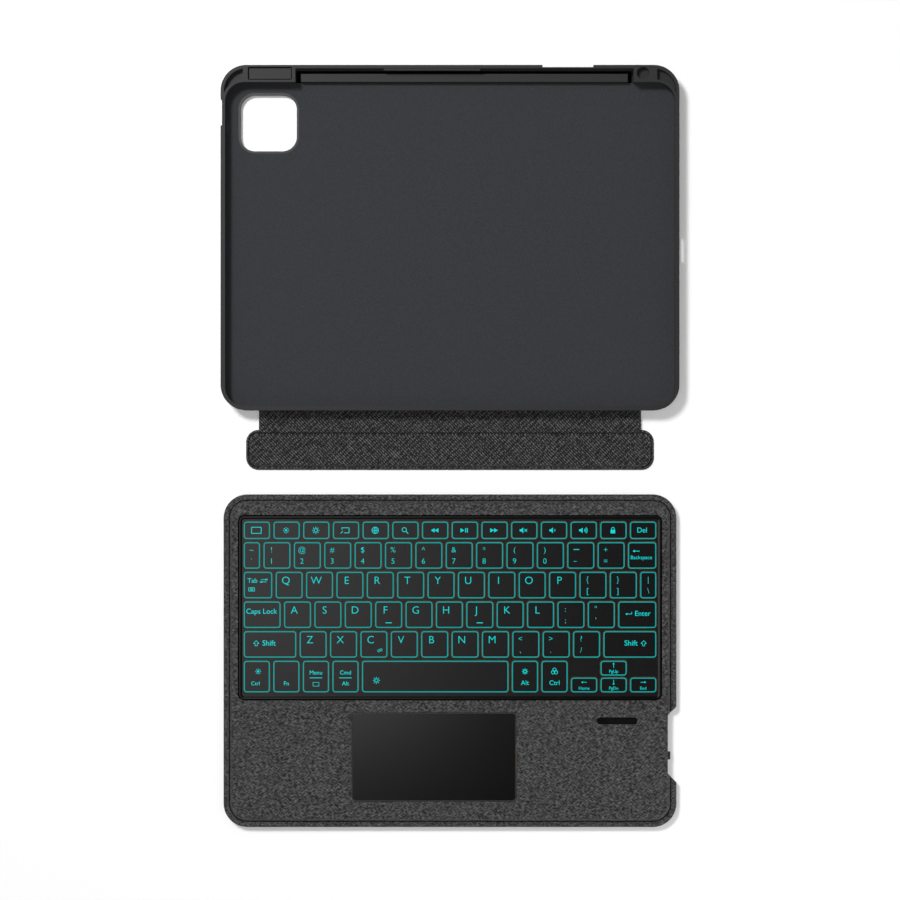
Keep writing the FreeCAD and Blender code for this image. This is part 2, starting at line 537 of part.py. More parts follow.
def key_places():
    """Every key as (group, middle x, middle y, width, height), row by row from the back."""
    gap = size("key_gap")
    plain = size("key_width")
    small = size("small_width")
    rows = [
        (size("top_row"), [("function_keys", None)] * 14),
        (size("key_row"), [("number_keys", size("grave_width"))] + [("number_keys", plain)] * 12
         + [("backspace_key", None)]),
        (size("key_row"), [("tab_key", size("tab_width"))] + [("top_letter_keys", plain)] * 12
         + [("top_letter_keys", None)]),
        (size("key_row"), [("caps_key", size("caps_width"))] + [("home_letter_keys", plain)] * 11
         + [("enter_key", None)]),
        (size("key_row"), [("left_shift_key", size("shift_width"))] + [("bottom_letter_keys", plain)] * 10
         + [("right_shift_key", None)]),
        (size("space_row"), [("left_modifier_keys", small)] * 4 + [("space_bar", None)]
         + [("right_modifier_keys", small)] * 2 + [("arrow_keys", small)] * 3),
    ]
    rows_depth = sum(height for height, keys in rows) + size("row_gap") * (len(rows) - 1)
    top = -size("base_back") - size("island_back") - (size("island_depth") - rows_depth) / 2
    places = []
    for height, keys in rows:
        fixed = sum(width for name, width in keys if width)
        free = [name for name, width in keys if not width]
        shared = (size("key_field") - fixed - gap * (len(keys) - 1)) / max(len(free), 1)
        left = -size("key_field") / 2
        for name, width in keys:
            width = width or shared
            middle = left + width / 2
            half = (height - size("arrow_gap")) / 2
            low_y = top - height + half / 2
            if name != "arrow_keys":
                places.append((name, middle, top - height / 2, width, height))
            else:
                places.append((name, middle, low_y, width, half))
            left += width + gap
        top -= height + size("row_gap")
    # the middle arrow key has its twin above it
    name, middle, low_y, width, half = places[-2]
    places.append((name, middle, low_y + half + size("arrow_gap"), width, half))
    return places


def key_block(place_of_key, low, height, grow):
    """One key-shaped block with rounded upright corners, grown outwards by a margin."""
    name, x, y, width, depth = place_of_key
    wide = width + 2 * grow
    deep = depth + 2 * grow
    box = Part.makeBox(wide, deep, height, Vector(x - wide / 2, y - deep / 2, low))
    upright = [edge for edge in box.Edges if abs(edge.Vertexes[0].Z - edge.Vertexes[1].Z) > height / 2]
    return box.makeFillet(size("key_radius") + max(grow, 0), upright)


def shape_node(name, shapes):
    """A sub-part whose solids follow the key layout, worked out from the sheet."""
    item = doc.addObject("Part::Feature", name)
    item.Shape = Part.makeCompound(shapes) if len(shapes) > 1 else shapes[0]
    return item


def keys():
    places = key_places()
    for name in dict.fromkeys(item[0] for item in places):
        caps = [key_block(item, size("key_low"), size("key_height"), 0) for item in places if item[0] == name]
        node(shape_node("caps_" + name, caps), name)
    holes = [key_block(item, size("flange_low"), size("deck_top"), size("key_play")) for item in places]
    flange_low = f"({DECK_UNDER} - island_flange_height)"
    face = plate("bezel_face", "island_width", "island_depth", f"island_top - {DECK_UNDER}", ("0", ISLAND_Y, DECK_UNDER),
                 "island_radius")
    flange = plate("bezel_flange", "island_width + 2*island_flange", "island_depth + 2*island_flange",
                   "island_flange_height", ("0", ISLAND_Y, flange_low), "island_radius")
    node(cut("bezel_cut", fuse("bezel_blank", face, flange), shape_node("key_holes", holes)), "key_bezel")
    film_top = size("flange_low") + size("guide_thick") + size("steel_thick") + size("film_thick")
    lift = size("key_low") - film_top
    domes = [Part.makeCone(size("dome_radius"), size("dome_tip"), lift, Vector(x, y, film_top))
             for name, x, y, width, depth in places]
    node(shape_node("dome_set", domes), "rubber_domes")
    clip_low = film_top + size("clip_lift")
    clip_height = lift - 2 * size("clip_lift")
    clips = []
    for item in places:
        outer = key_block(item, clip_low, clip_height, -size("clip_margin"))
        inner = key_block(item, clip_low, clip_height, -size("clip_margin") - size("clip_wall"))
        clips.append(outer.cut(inner))
    node(shape_node("clip_set", clips), "scissor_clips")


def key_layers():
    def layer(name, thick, low):
        return node(block(name + "_layer", STACK_WIDTH, STACK_DEPTH, thick, ("0", ISLAND_Y, low)), name)

    layer("light_guide", "guide_thick", "flange_low")
    layer("support_plate", "steel_thick", "flange_low + guide_thick")
    layer("membrane_sheet", "film_thick", "flange_low + guide_thick + steel_thick")
    led_y = f"{ISLAND_Y} - {STACK_DEPTH}/2 - led_depth/2"
    leds = [block(f"backlight_{step + 5}", "led_length", "led_depth", "led_height",
                  (f"{step}*led_pitch", led_y, "flange_low")) for step in range(-5, 6)]
    node(group("backlights", *leds), "backlight_leds")


def touchpad():
    glass_low = "(pad_top - pad_glass)"
    board_low = f"({glass_low} - pad_board)"
    node(plate("pad_sheet", "pad_width", "pad_depth", "pad_glass", ("-pad_x", PAD_Y, glass_low), "pad_radius"),
         "touchpad_glass")
    bead_y = f"({PAD_REAR} - bead_inset)"
    bead_z = f"({board_low} - bead_radius)"
    board = block("pad_circuit", "pad_width - 2*pad_margin", "pad_depth", "pad_board", ("-pad_x", PAD_Y, board_low))
    bead = rod("pad_bead", "bead_radius", "cradle_length", ("-pad_x", bead_y, bead_z))
    neck = block("pad_neck", "cradle_length", "bead_radius", "bead_radius", ("-pad_x", bead_y, bead_z))
    node(fuse("pad_backing", board, bead, neck), "touchpad_board")
    cradle_top = f"({bead_z} - bead_radius - cradle_play)"
    node(block("pad_cradle", "cradle_length", "cradle_depth", f"{cradle_top} - {PAN_FLOOR}", ("-pad_x", bead_y, PAN_FLOOR)),
         "touchpad_bracket")
    click_y = f"{PAD_REAR} - pad_depth + click_size"
    node(block("pad_click", "click_size", "click_size", f"{board_low} - click_gap - {PAN_FLOOR}",
               ("-pad_x", click_y, PAN_FLOOR)), "touchpad_switch")


def electronics():
    board_y = "-base_back - board_back"
    node(block("board_sheet", "board_length", "board_depth", "board_thick", ("board_x", board_y, PAN_FLOOR)), "main_board")
    node(block("cell_block", "cell_length", "cell_depth", "cell_thick", ("-cell_x", board_y, PAN_FLOOR)), "battery_cell")
    usb_at = (f"{NOTCH_X} - usb_length/2", "-base_back - usb_back", PAN_FLOOR)
    can = block("usb_can", "usb_length", "usb_width", "usb_height", usb_at)
    mouth = block("usb_mouth", "usb_length - usb_shell", "usb_width - 2*usb_shell", "usb_height - 2*usb_shell",
                  (f"{NOTCH_X} - usb_length/2 + usb_shell/2", usb_at[1], f"{PAN_FLOOR} + usb_shell"))
    tongue = block("usb_tongue", "tongue_length + usb_shell", "tongue_width", "tongue_thick",
                   (f"{NOTCH_X} - usb_length + (tongue_length + usb_shell)/2", usb_at[1],
                    f"{PAN_FLOOR} + usb_height/2 - tongue_thick/2"))
    node(fuse("usb_socket", cut("usb_shell_cut", can, mouth), tongue), "usb_port")
    wall_in = f"({HOLLOW_WIDTH}/2)"
    board_end = "(board_x + board_length/2)"
    node(block("switch_can", f"{wall_in} - {board_end}", "switch_length", "switch_height",
               (f"({wall_in} + {board_end})/2", "-base_back - knob_back - knob_travel/2", PAN_FLOOR)), "switch_body")
    knob_length = f"({NOTCH_X} + knob_proud - {wall_in} - screw_play)"
    node(block("knob_block", knob_length, "knob_length", "knob_height",
               (f"{NOTCH_X} + knob_proud - {knob_length}/2", "-base_back - knob_back", "knob_low")), "power_knob")
    lamp_y = "-base_back - lamp_back"
    lens = plate("lamp_lens", "lamp_length", "lamp_width", f"lamp_top - {DECK_UNDER}", ("lamp_x", lamp_y, DECK_UNDER),
                 "lamp_width*0.49")
    seat = block("lamp_seat", "lamp_length + 2*lamp_flange", "lamp_width + 2*lamp_flange", "lamp_flange_height",
                 ("lamp_x", lamp_y, f"{DECK_UNDER} - lamp_flange_height"))
    node(fuse("lamp_window", lens, seat), "indicator_window")
    chips = [block(f"lamp_chip_{index}", "lamp_chip", "lamp_chip", "lamp_chip_height",
                   (f"lamp_x + {step}*lamp_pitch", lamp_y, BOARD_TOP))
             for index, step in enumerate(("-1.5", "-0.5", "0.5", "1.5"))]
    node(group("lamp_chips", *chips), "indicator_leds")
    magnet_y = "-base_back - base_flange - side_wall - magnet_depth/2 - dock_play"
    node(group("dock_magnet_set", *magnets("dock_magnet", magnet_y, "flange_low")), "dock_magnets")


def ribbons():
    film_front = f"({ISLAND_Y} - {STACK_DEPTH}/2)"
    board_rear = "(-base_back - board_back + board_depth/2)"
    run = f"({film_front} - {board_rear} + 2*ribbon_bite)"
    flat = block("key_ribbon_run", "ribbon_width", run, "ribbon_thick",
                 ("ribbon_x", f"{film_front} + ribbon_bite - {run}/2", FILM_TOP))
    drop = block("key_ribbon_drop", "ribbon_width", "ribbon_thick", f"{FILM_TOP} - {BOARD_TOP} + ribbon_thick",
                 ("ribbon_x", f"{board_rear} - ribbon_bite + ribbon_thick/2", BOARD_TOP))
    node(fuse("key_ribbon", flat, drop), "keyboard_ribbon")
    pad_right = "(-pad_x + pad_width/2 - pad_margin)"
    board_left = "(board_x - board_length/2)"
    span = f"({board_left} - {pad_right} + 2*ribbon_bite)"
    ribbon_low = "(pad_top - pad_glass - pad_board - click_gap)"
    ribbon_y = "-base_back - board_back"
    level = block("pad_ribbon_run", span, "ribbon_width", "ribbon_thick",
                  (f"{pad_right} - ribbon_bite + {span}/2", ribbon_y, ribbon_low))
    fall = block("pad_ribbon_drop", "ribbon_thick", "ribbon_width", f"{ribbon_low} - {BOARD_TOP} + ribbon_thick",
                 (f"{board_left} + ribbon_bite - ribbon_thick/2", ribbon_y, BOARD_TOP))
    node(fuse("pad_ribbon", level, fall), "touchpad_ribbon")


bumper_frame()
shell_back()
folding_stand()
hinge_strip()
docking_bar()
bottom_cover()
deck()
keys()
key_layers()
touchpad()
electronics()
ribbons()
doc.recompute()

faults = [item.Label for item in doc.Objects if "Invalid" in item.State or "Error" in item.State]
faults += [name for name, item in nodes.items() if item.Shape.isNull() or not item.Shape.isValid()]
if faults:
    raise SystemExit("faulty objects: " + ", ".join(faults))

os.makedirs("parts", exist_ok=True)
for name, item in nodes.items():
    item.Shape.exportStep("parts/%s.step" % name)
    box = item.Shape.BoundBox
    print("%-20s solids %3d  x %7.2f %7.2f  y %7.2f %7.2f  z %5.2f %5.2f" % (
        name, len(item.Shape.Solids), box.XMin, box.XMax, box.YMin, box.YMax, box.ZMin, box.ZMax))
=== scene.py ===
# %% [markdown]
# A two-piece tablet keyboard case: a bumper shell on a fabric hinge and bar, and a slim backlit
# keyboard.  The rigid pieces come from the frame and only get finishes.  The fabric skins, the lit
# key outlines, the key lettering and the moulded trim are made here, in metres.
# %% Load the frame
import bpy
import bmesh
import json
import math
from mathutils import Matrix, Vector


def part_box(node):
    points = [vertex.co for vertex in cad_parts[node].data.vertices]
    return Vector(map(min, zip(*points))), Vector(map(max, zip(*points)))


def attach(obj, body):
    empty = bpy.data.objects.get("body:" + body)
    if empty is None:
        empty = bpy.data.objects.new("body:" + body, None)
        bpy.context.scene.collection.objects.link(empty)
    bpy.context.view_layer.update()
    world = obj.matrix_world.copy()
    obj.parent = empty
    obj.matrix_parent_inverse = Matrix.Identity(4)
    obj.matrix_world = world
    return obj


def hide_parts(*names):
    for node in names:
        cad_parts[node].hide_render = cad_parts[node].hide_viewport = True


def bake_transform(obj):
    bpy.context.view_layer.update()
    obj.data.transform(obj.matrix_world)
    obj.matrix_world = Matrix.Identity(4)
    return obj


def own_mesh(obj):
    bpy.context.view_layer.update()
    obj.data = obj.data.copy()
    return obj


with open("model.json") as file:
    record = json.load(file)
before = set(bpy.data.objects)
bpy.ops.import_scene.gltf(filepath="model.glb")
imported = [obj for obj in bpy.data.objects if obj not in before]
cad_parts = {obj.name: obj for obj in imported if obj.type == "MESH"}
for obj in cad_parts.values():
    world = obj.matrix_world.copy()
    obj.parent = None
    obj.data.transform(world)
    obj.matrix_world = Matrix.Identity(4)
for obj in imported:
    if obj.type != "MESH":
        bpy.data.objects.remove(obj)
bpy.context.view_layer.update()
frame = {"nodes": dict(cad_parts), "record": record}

MM = 0.001
scene = bpy.context.scene
scene.view_settings.view_transform = "Standard"
nodes = frame["nodes"]

# %% [markdown]
# Colours are written as sRGB hex, as they look on screen, and turned to linear once.  One small
# function adds a shader node with its settings and links, so each material reads as a short recipe.
# %% Colour and shader helpers


def srgb(code):
    """Linear red, green and blue, with full alpha, from a hex code."""
    channels = [int(code[i:i + 2], 16) / 255 for i in (1, 3, 5)]
    linear = [c / 12.92 if c <= 0.04045 else ((c + 0.055) / 1.055) ** 2.4 for c in channels]
    return (*linear, 1.0)


def add(tree, kind, links=(), **settings):
    """Add a shader node; links pairs an input's name or index with the socket that feeds it."""
    made = tree.nodes.new(kind)
    for name, value in settings.items():
        if name.startswith("in_"):
            made.inputs[name[3:].replace("_", " ")].default_value = value
        else:
            setattr(made, name, value)
    for target, source in links:
        tree.links.new(source, made.inputs[target])
    return made


def new_material(name, code, roughness, metallic=0.0, **sockets):
    """A principled surface with its plain values set on the shader's own sockets."""
    made = bpy.data.materials.new(name)
    made.use_nodes = True
    shader = made.node_tree.nodes["Principled BSDF"]
    shader.inputs["Base Color"].default_value = srgb(code)
    shader.inputs["Roughness"].default_value = roughness
    shader.inputs["Metallic"].default_value = metallic
    for socket, value in sockets.items():
        shader.inputs[socket.replace("_", " ")].default_value = value
    return made, made.node_tree, shader


def per_mm(period):
    """Texture scale that repeats once in that many millimetres, on Object coordinates in metres."""
    return 1.0 / (period * MM)


def two_tone(tree, pattern, first, second, start, end):
    """A ramp from one tone to another, between two levels of the pattern that feeds it."""
    ramp = add(tree, "ShaderNodeValToRGB", [("Fac", pattern)])
    for point, level, code in zip(ramp.color_ramp.elements, (start, end), (first, second)):
        point.position = level
        point.color = srgb(code)
    return ramp


def dress(tree, shader, pattern, ramp, bump, depth_mm=0.1):
    """Colour the surface from the ramp, with the pattern itself as fine relief."""
    relief = add(tree, "ShaderNodeBump", [("Height", pattern)], in_Strength=bump,
                 in_Distance=depth_mm * MM)
    tree.links.new(ramp.outputs["Color"], shader.inputs["Base Color"])
    tree.links.new(relief.outputs["Normal"], shader.inputs["Normal"])


def mottled(name, dark, light, roughness, grain_mm, bump, metallic=0.0, **sockets):
    """A finish of noise between two tones, with the same noise as fine relief."""
    made, tree, shader = new_material(name, light, roughness, metallic, **sockets)
    where = add(tree, "ShaderNodeTexCoord")
    noise = add(tree, "ShaderNodeTexNoise", [("Vector", where.outputs["Object"])],
                in_Scale=per_mm(grain_mm), in_Detail=3.0)
    ramp = two_tone(tree, noise.outputs["Fac"], dark, light, 0.3, 0.7)
    dress(tree, shader, noise.outputs["Fac"], ramp, bump)
    return made


print("mid grey, linear", round(srgb("#808080")[0], 3))

# %% [markdown]
# The bar and the strip wear a twill, and the base a grey marl.  In the twill one wave texture draws
# the slanting lines and a second, across it and shaken, breaks them into short floats.  A stretched
# noise lightens and darkens patches, as uneven yarn does.  The marl is two stretched noises that cross.
# The wave texture repeats every 0.314 / scale, so that number sets its period.
# %% Woven fabrics
WAVE_REPEAT = 0.314
CLOTH_ROUGHNESS = 0.92
CLOTH_SHEEN = {"Sheen_Weight": 0.1, "Sheen_Roughness": 0.5, "Specular_IOR_Level": 0.15}


def woven(name, dark, light, line_mm, float_mm, slant, bump):
    """A twill on the piece's flat layout, with lines and floats of the given pitch."""
    made, tree, shader = new_material(name, light, CLOTH_ROUGHNESS, **CLOTH_SHEEN)
    where = add(tree, "ShaderNodeTexCoord")
    turned = add(tree, "ShaderNodeMapping", [("Vector", where.outputs["UV"])],
                 in_Rotation=(0, 0, math.radians(slant)))
    lines = add(tree, "ShaderNodeTexWave", [("Vector", turned.outputs["Vector"])], bands_direction="X",
                in_Scale=WAVE_REPEAT * per_mm(line_mm), in_Distortion=1.2, in_Detail=1.0)
    floats = add(tree, "ShaderNodeTexWave", [("Vector", turned.outputs["Vector"])], bands_direction="Y",
                 in_Scale=WAVE_REPEAT * per_mm(float_mm), in_Distortion=6.0, in_Detail=1.0,
                 in_Detail_Scale=6.0)
    cross = add(tree, "ShaderNodeMath", [(0, lines.outputs["Fac"]), (1, floats.outputs["Fac"])],
                operation="MULTIPLY")
    streaky = add(tree, "ShaderNodeMapping", [("Vector", turned.outputs["Vector"])],
                  in_Scale=(1.0, 0.4, 1.0))
    patches = add(tree, "ShaderNodeTexNoise", [("Vector", streaky.outputs["Vector"])],
                  in_Scale=per_mm(2.2), in_Detail=6.0, in_Roughness=0.8)
    uneven = add(tree, "ShaderNodeMapRange", [("Value", patches.outputs["Fac"])], in_From_Min=0.38,
                 in_From_Max=0.62, in_To_Min=0.25)
    blend = add(tree, "ShaderNodeMath", [(0, cross.outputs["Value"]), (1, uneven.outputs["Result"])],
                operation="MULTIPLY")
    ramp = two_tone(tree, blend.outputs["Value"], dark, light, 0.03, 0.65)
    dress(tree, shader, blend.outputs["Value"], ramp, bump)
    return made


def marl(name, dark, light, dash_mm, thread_mm, slant, bump):
    """Short dashes of light yarn crossing at two slants, over a darker ground."""
    made, tree, shader = new_material(name, light, CLOTH_ROUGHNESS, **CLOTH_SHEEN)
    where = add(tree, "ShaderNodeTexCoord")
    dashes = []
    for turn in (slant, -slant):
        turned = add(tree, "ShaderNodeMapping", [("Vector", where.outputs["Object"])],
                     in_Rotation=(0, 0, math.radians(turn)))
        drawn = add(tree, "ShaderNodeMapping", [("Vector", turned.outputs["Vector"])],
                    in_Scale=(thread_mm / dash_mm, 1.0, 1.0))
        dashes.append(add(tree, "ShaderNodeTexNoise", [("Vector", drawn.outputs["Vector"])],
                          in_Scale=per_mm(thread_mm), in_Detail=1.0, in_Roughness=0.5))
    cross = add(tree, "ShaderNodeMath", [(0, dashes[0].outputs["Fac"]), (1, dashes[1].outputs["Fac"])],
                operation="MAXIMUM")
    ramp = two_tone(tree, cross.outputs["Value"], dark, light, 0.48, 0.76)
    dress(tree, shader, cross.outputs["Value"], ramp, bump, 0.2)
    return made


deck_cloth = marl("marl_polyester_weave", "#202021", "#646465", 2.2, 0.58, 34, 0.5)
strip_cloth = woven("twill_polyester_weave", "#1a1a1b", "#626263", 1.25, 2.2, -44, 0.4)
print("cloth", deck_cloth.name, strip_cloth.name)

# %% [markdown]
# The bumper is matte moulded TPU, the bezel gloss black plastic, the touchpad a satin coated sheet,
# and the back grained polyurethane.  Each is one tone broken by a fine noise at its own grain.
# %% Moulded, coated and metal finishes
finishes = {
    "soft_bumper": mottled("moulded_tpu_matte", "#232324", "#29292a", 0.55, 0.5, 0.1,
                           Specular_IOR_Level=0.3),
    "pu_back": mottled("grained_polyurethane", "#262627", "#3a3a3b", 0.6, 1.4, 0.7),
    "hard_plastic": mottled("textured_polycarbonate", "#232324", "#2e2e2f", 0.5, 0.5, 0.2),
    "microfibre": mottled("brushed_microfibre", "#222326", "#303135", 0.95, 0.5, 0.25, Sheen_Weight=0.2),
    "stand_metal": mottled("sheet_aluminium", "#8c8d90", "#a3a4a7", 0.38, 0.9, 0.08, 1.0),
    "steel": mottled("stamped_steel", "#97989a", "#b4b5b7", 0.32, 0.8, 0.08, 1.0),
    "magnet": mottled("nickel_plate", "#b0b0ae", "#c6c6c3", 0.2, 1.5, 0.03, 1.0),
    "bar_board": mottled("glass_fibre_board", "#3c3a34", "#4d4a42", 0.7, 0.9, 0.2),
    "gloss_bezel": mottled("gloss_black_abs", "#0d0d0e", "#121213", 0.3, 4.0, 0.01),
    "key_cap": mottled("satin_black_abs", "#0c0c0d", "#111112", 0.27, 0.5, 0.04),
    "grip_rubber": mottled("black_silicone", "#18181a", "#222224", 0.75, 0.7, 0.2),
    "clear_guide": mottled("clear_acrylic", "#c8dada", "#e2f0f0", 0.1, 5.0, 0.01),
    "film": mottled("polyimide_film", "#8a5a1c", "#a87430", 0.35, 3.0, 0.02),
    "led": mottled("led_package", "#d8cf9c", "#f0e8c0", 0.3, 1.0, 0.02),
    "circuit": mottled("solder_mask", "#0f3d27", "#17543a", 0.4, 2.0, 0.05),
    "cell_wrap": mottled("foil_wrap", "#8b8c90", "#a2a3a8", 0.35, 5.0, 0.05),
    "smoked_window": mottled("smoked_acrylic", "#0c0c0d", "#141415", 0.12, 4.0, 0.01),
    "pad_glass": mottled("satin_touch_film", "#040405", "#070708", 0.2, 0.4, 0.01,
                         Specular_IOR_Level=0.75),
    "fabric": deck_cloth,
}
slots = {item["node"]: item["material_slot"] for item in frame["record"]["subparts"]}
for name, item in nodes.items():
    item.data.materials.clear()
    item.data.materials.append(finishes[slots[name]])
print("finishes", len(finishes))

# %% [markdown]
# Helpers for meshes: a new object in the row frame, a rounded rectangle as a list of points, forms
# lofted through such outlines, cutters, and the flat layout of a cloth.
# %% Mesh helpers


def new_piece(name, mesh, finish, body=None):
    """A piece with its finish, which rides a body where one is named."""
    piece = bpy.data.objects.new(name, mesh)
    scene.collection.objects.link(piece)
    mesh.materials.clear()
    mesh.materials.append(finish)
    if body:
        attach(piece, body)
    return piece


def mesh_from(name, bm):
    mesh = bpy.data.meshes.new(name)
    bm.to_mesh(mesh)
    bm.free()
    return mesh


def rounded_outline(centre, half_x, half_y, radius, steps=10):
    """Points of a rounded rectangle, anticlockwise, starting on the right."""
    points = []
    for quarter, (sx, sy) in enumerate(((1, 1), (-1, 1), (-1, -1), (1, -1))):
        for step in range(steps + 1):
            turn = math.pi / 2 * (quarter + step / steps)
            points.append((centre[0] + sx * (half_x - radius) + radius * math.cos(turn),
                           centre[1] + sy * (half_y - radius) + radius * math.sin(turn)))
    return points


def loft(name, centre, half_x, half_y, radius, profile):
    """A closed form from rounded outlines; profile lists (inset, height) from foot to top."""
    bm = bmesh.new()
    rings = []
    for inset, height in profile:
        outline = rounded_outline(centre, half_x - inset, half_y - inset, max(radius - inset, 0.4 * MM))
        rings.append([bm.verts.new((x, y, height)) for x, y in outline])
    for low, high in zip(rings, rings[1:]):
        count = len(low)
        for i in range(count):
            bm.faces.new((low[i], low[(i + 1) % count], high[(i + 1) % count], high[i]))
    bm.faces.new(rings[-1])
    bm.faces.new(list(reversed(rings[0])))
    return mesh_from(name, bm)


def apply_modifiers(piece):
    """Turn the evaluated piece into plain mesh and drop its modifiers."""
    graph = bpy.context.evaluated_depsgraph_get()
    graph.update()
    done = bpy.data.meshes.new_from_object(piece.evaluated_get(graph))
    piece.modifiers.clear()
    piece.data = done
    return piece


def carve(piece, cutters):
    """Cut holes with closed cutter meshes, which are then removed."""
    for cutter in cutters:
        tool = bpy.data.objects.new("cutter", cutter)
        scene.collection.objects.link(tool)
        hole = piece.modifiers.new("hole", "BOOLEAN")
        hole.object = tool
        hole.solver = "EXACT"
        apply_modifiers(piece)
        bpy.data.objects.remove(tool)
    return piece


def lay_flat(piece):
    """UVs equal to the flat layout in metres, so a woven pattern bends with the cloth."""
    layer = piece.data.uv_layers.new(name="flat_cloth")
    for corner in piece.data.loops:
        place = piece.data.vertices[corner.vertex_index].co
        layer.data[corner.index].uv = (place.x, place.y + place.z)
    return piece


def middle_and_half(node):
    """Middle, half size, low corner and high corner of a node's box."""
    low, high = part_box(node)
    middle = [(a + b) / 2 for a, b in zip(low, high)]
    half = [(b - a) / 2 for a, b in zip(low, high)]
    return middle, half, low, high


def ease(a, b, steps):
    """Points of a soft S from a to b, as a heat-pressed step takes."""
    out = []
    for i in range(1, steps + 1):
        t = i / steps
        s = t * t * (3 - 2 * t)
        out.append((a[0] + (b[0] - a[0]) * t, a[1] + (b[1] - a[1]) * s))
    return out


print("points in an outline", len(rounded_outline((0, 0), 2, 1, 0.5)))

# %% [markdown]
# The base's fabric is one sheet laminated over the deck: a rounded rim all round, a pressed
# groove inside it, and the flat deck, with windows for the keys, touchpad and indicator and the
# notch at the right.  A loft of rounded outlines gives the form, and cutters open the windows.
# The rim stands a little taller than the frame's flange.
# %% Deck fabric
SKIN = 0.12 * MM
DECK_CORNER = 13.0 * MM
RIM_HEIGHT = 1.75 * MM
GROOVE_HEIGHT = 0.75 * MM
GROOVE_OUTER = 3.1 * MM
GROOVE_INNER = 3.35 * MM
DECK_EDGE = 5.0 * MM
EASE_STEPS = 8
deck_mid, deck_half, deck_low, deck_high = middle_and_half("deck_fabric")
deck_top = deck_high[2] + SKIN
rim_top = deck_low[2] + RIM_HEIGHT
groove = deck_low[2] + GROOVE_HEIGHT
profile = [(0.25 * MM, deck_low[2]), (0.0, deck_low[2] + 0.3 * MM), (0.0, rim_top - 0.9 * MM),
           (0.15 * MM, rim_top - 0.45 * MM), (0.5 * MM, rim_top - 0.15 * MM), (1.2 * MM, rim_top),
           (2.0 * MM, rim_top), (2.6 * MM, rim_top - 0.25 * MM), (2.95 * MM, rim_top - 0.7 * MM),
           (GROOVE_OUTER, groove), (GROOVE_INNER, groove)]
profile += ease((GROOVE_INNER, groove), (DECK_EDGE, deck_top), EASE_STEPS)
deck_mesh = loft("deck_cloth", deck_mid, deck_half[0], deck_half[1], DECK_CORNER, profile)
deck = new_piece("deck_cloth", deck_mesh, deck_cloth)
print("deck rim", round(rim_top / MM, 2), "top", round(deck_top / MM, 2), "mm")

# %% Deck windows and notch
CUT_TOP = 20 * MM
CUT_RANGE = (-1 * MM, 12 * MM)
PAD_MARGIN = 0.25 * MM
PAD_CORNER = 2.45 * MM
INDICATOR_HALF = (11.15 * MM, 1.93 * MM)
INDICATOR_CORNER = 1.9 * MM
ISLAND_CORNER = 3.5 * MM
ISLAND_SHIFT = 0.45 * MM
ISLAND_INSET = (1.1 * MM, 0.65 * MM)
HOLLOW_INSET = 6 * MM
HOLLOW_CORNER = 8 * MM
CLOTH_THICK = 0.25 * MM
NOTCH_DEPTH = 5.0 * MM
NOTCH_LENGTH = 42.0 * MM
NOTCH_OVERSHOOT = 2 * MM
NOTCH_SHIFT = 1.85 * MM


def window(mid, half, radius, top=CUT_TOP):
    """A cutter from the floor up, for a window or for the hollow under the cloth."""
    return loft("window", mid, half[0], half[1], radius, [(0.0, 0.0), (0.0, top)])


def notch_cutter():
    """The trapezoid notch at the right edge, beside the switch and the port."""
    mid_y = (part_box("power_knob")[0][1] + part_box("usb_port")[1][1]) / 2 - NOTCH_SHIFT
    outer = deck_high[0] + NOTCH_OVERSHOOT
    inner = deck_high[0] - NOTCH_DEPTH
    mouth = NOTCH_LENGTH / 2 + NOTCH_OVERSHOOT
    floor_half = NOTCH_LENGTH / 2 - NOTCH_DEPTH
    bm = bmesh.new()
    points = [(outer, -mouth), (outer, mouth), (inner, floor_half), (inner, -floor_half)]
    for height in CUT_RANGE:
        for x, y in points:
            bm.verts.new((x, mid_y + y, height))
    bm.verts.ensure_lookup_table()
    bm.faces.new([bm.verts[i] for i in (3, 2, 1, 0)])
    bm.faces.new([bm.verts[i] for i in (4, 5, 6, 7)])
    for i in range(4):
        j = (i + 1) % 4
        bm.faces.new([bm.verts[k] for k in (i, j, 4 + j, 4 + i)])
    bmesh.ops.recalc_face_normals(bm, faces=bm.faces)
    return mesh_from("notch", bm)


bezel_mid, bezel_half, _, bezel_high = middle_and_half("key_bezel")
pad_mid, pad_half, _, pad_high = middle_and_half("touchpad_glass")
indicator_mid = middle_and_half("indicator_window")[0]
island_mid = (bezel_mid[0], bezel_mid[1] - ISLAND_SHIFT)
island_half = (bezel_half[0] - ISLAND_INSET[0], bezel_half[1] - ISLAND_INSET[1])
hollow_half = [half - HOLLOW_INSET for half in deck_half[:2]]
pad_cut_half = [half + PAD_MARGIN for half in pad_half[:2]]
carve(deck, [window(deck_mid, hollow_half, HOLLOW_CORNER, deck_high[2] - CLOTH_THICK),
             window(island_mid, island_half, ISLAND_CORNER), window(pad_mid, pad_cut_half, PAD_CORNER),
             window(indicator_mid, INDICATOR_HALF, INDICATOR_CORNER), notch_cutter()])
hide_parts("deck_fabric")
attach(deck, "keyboard_base")

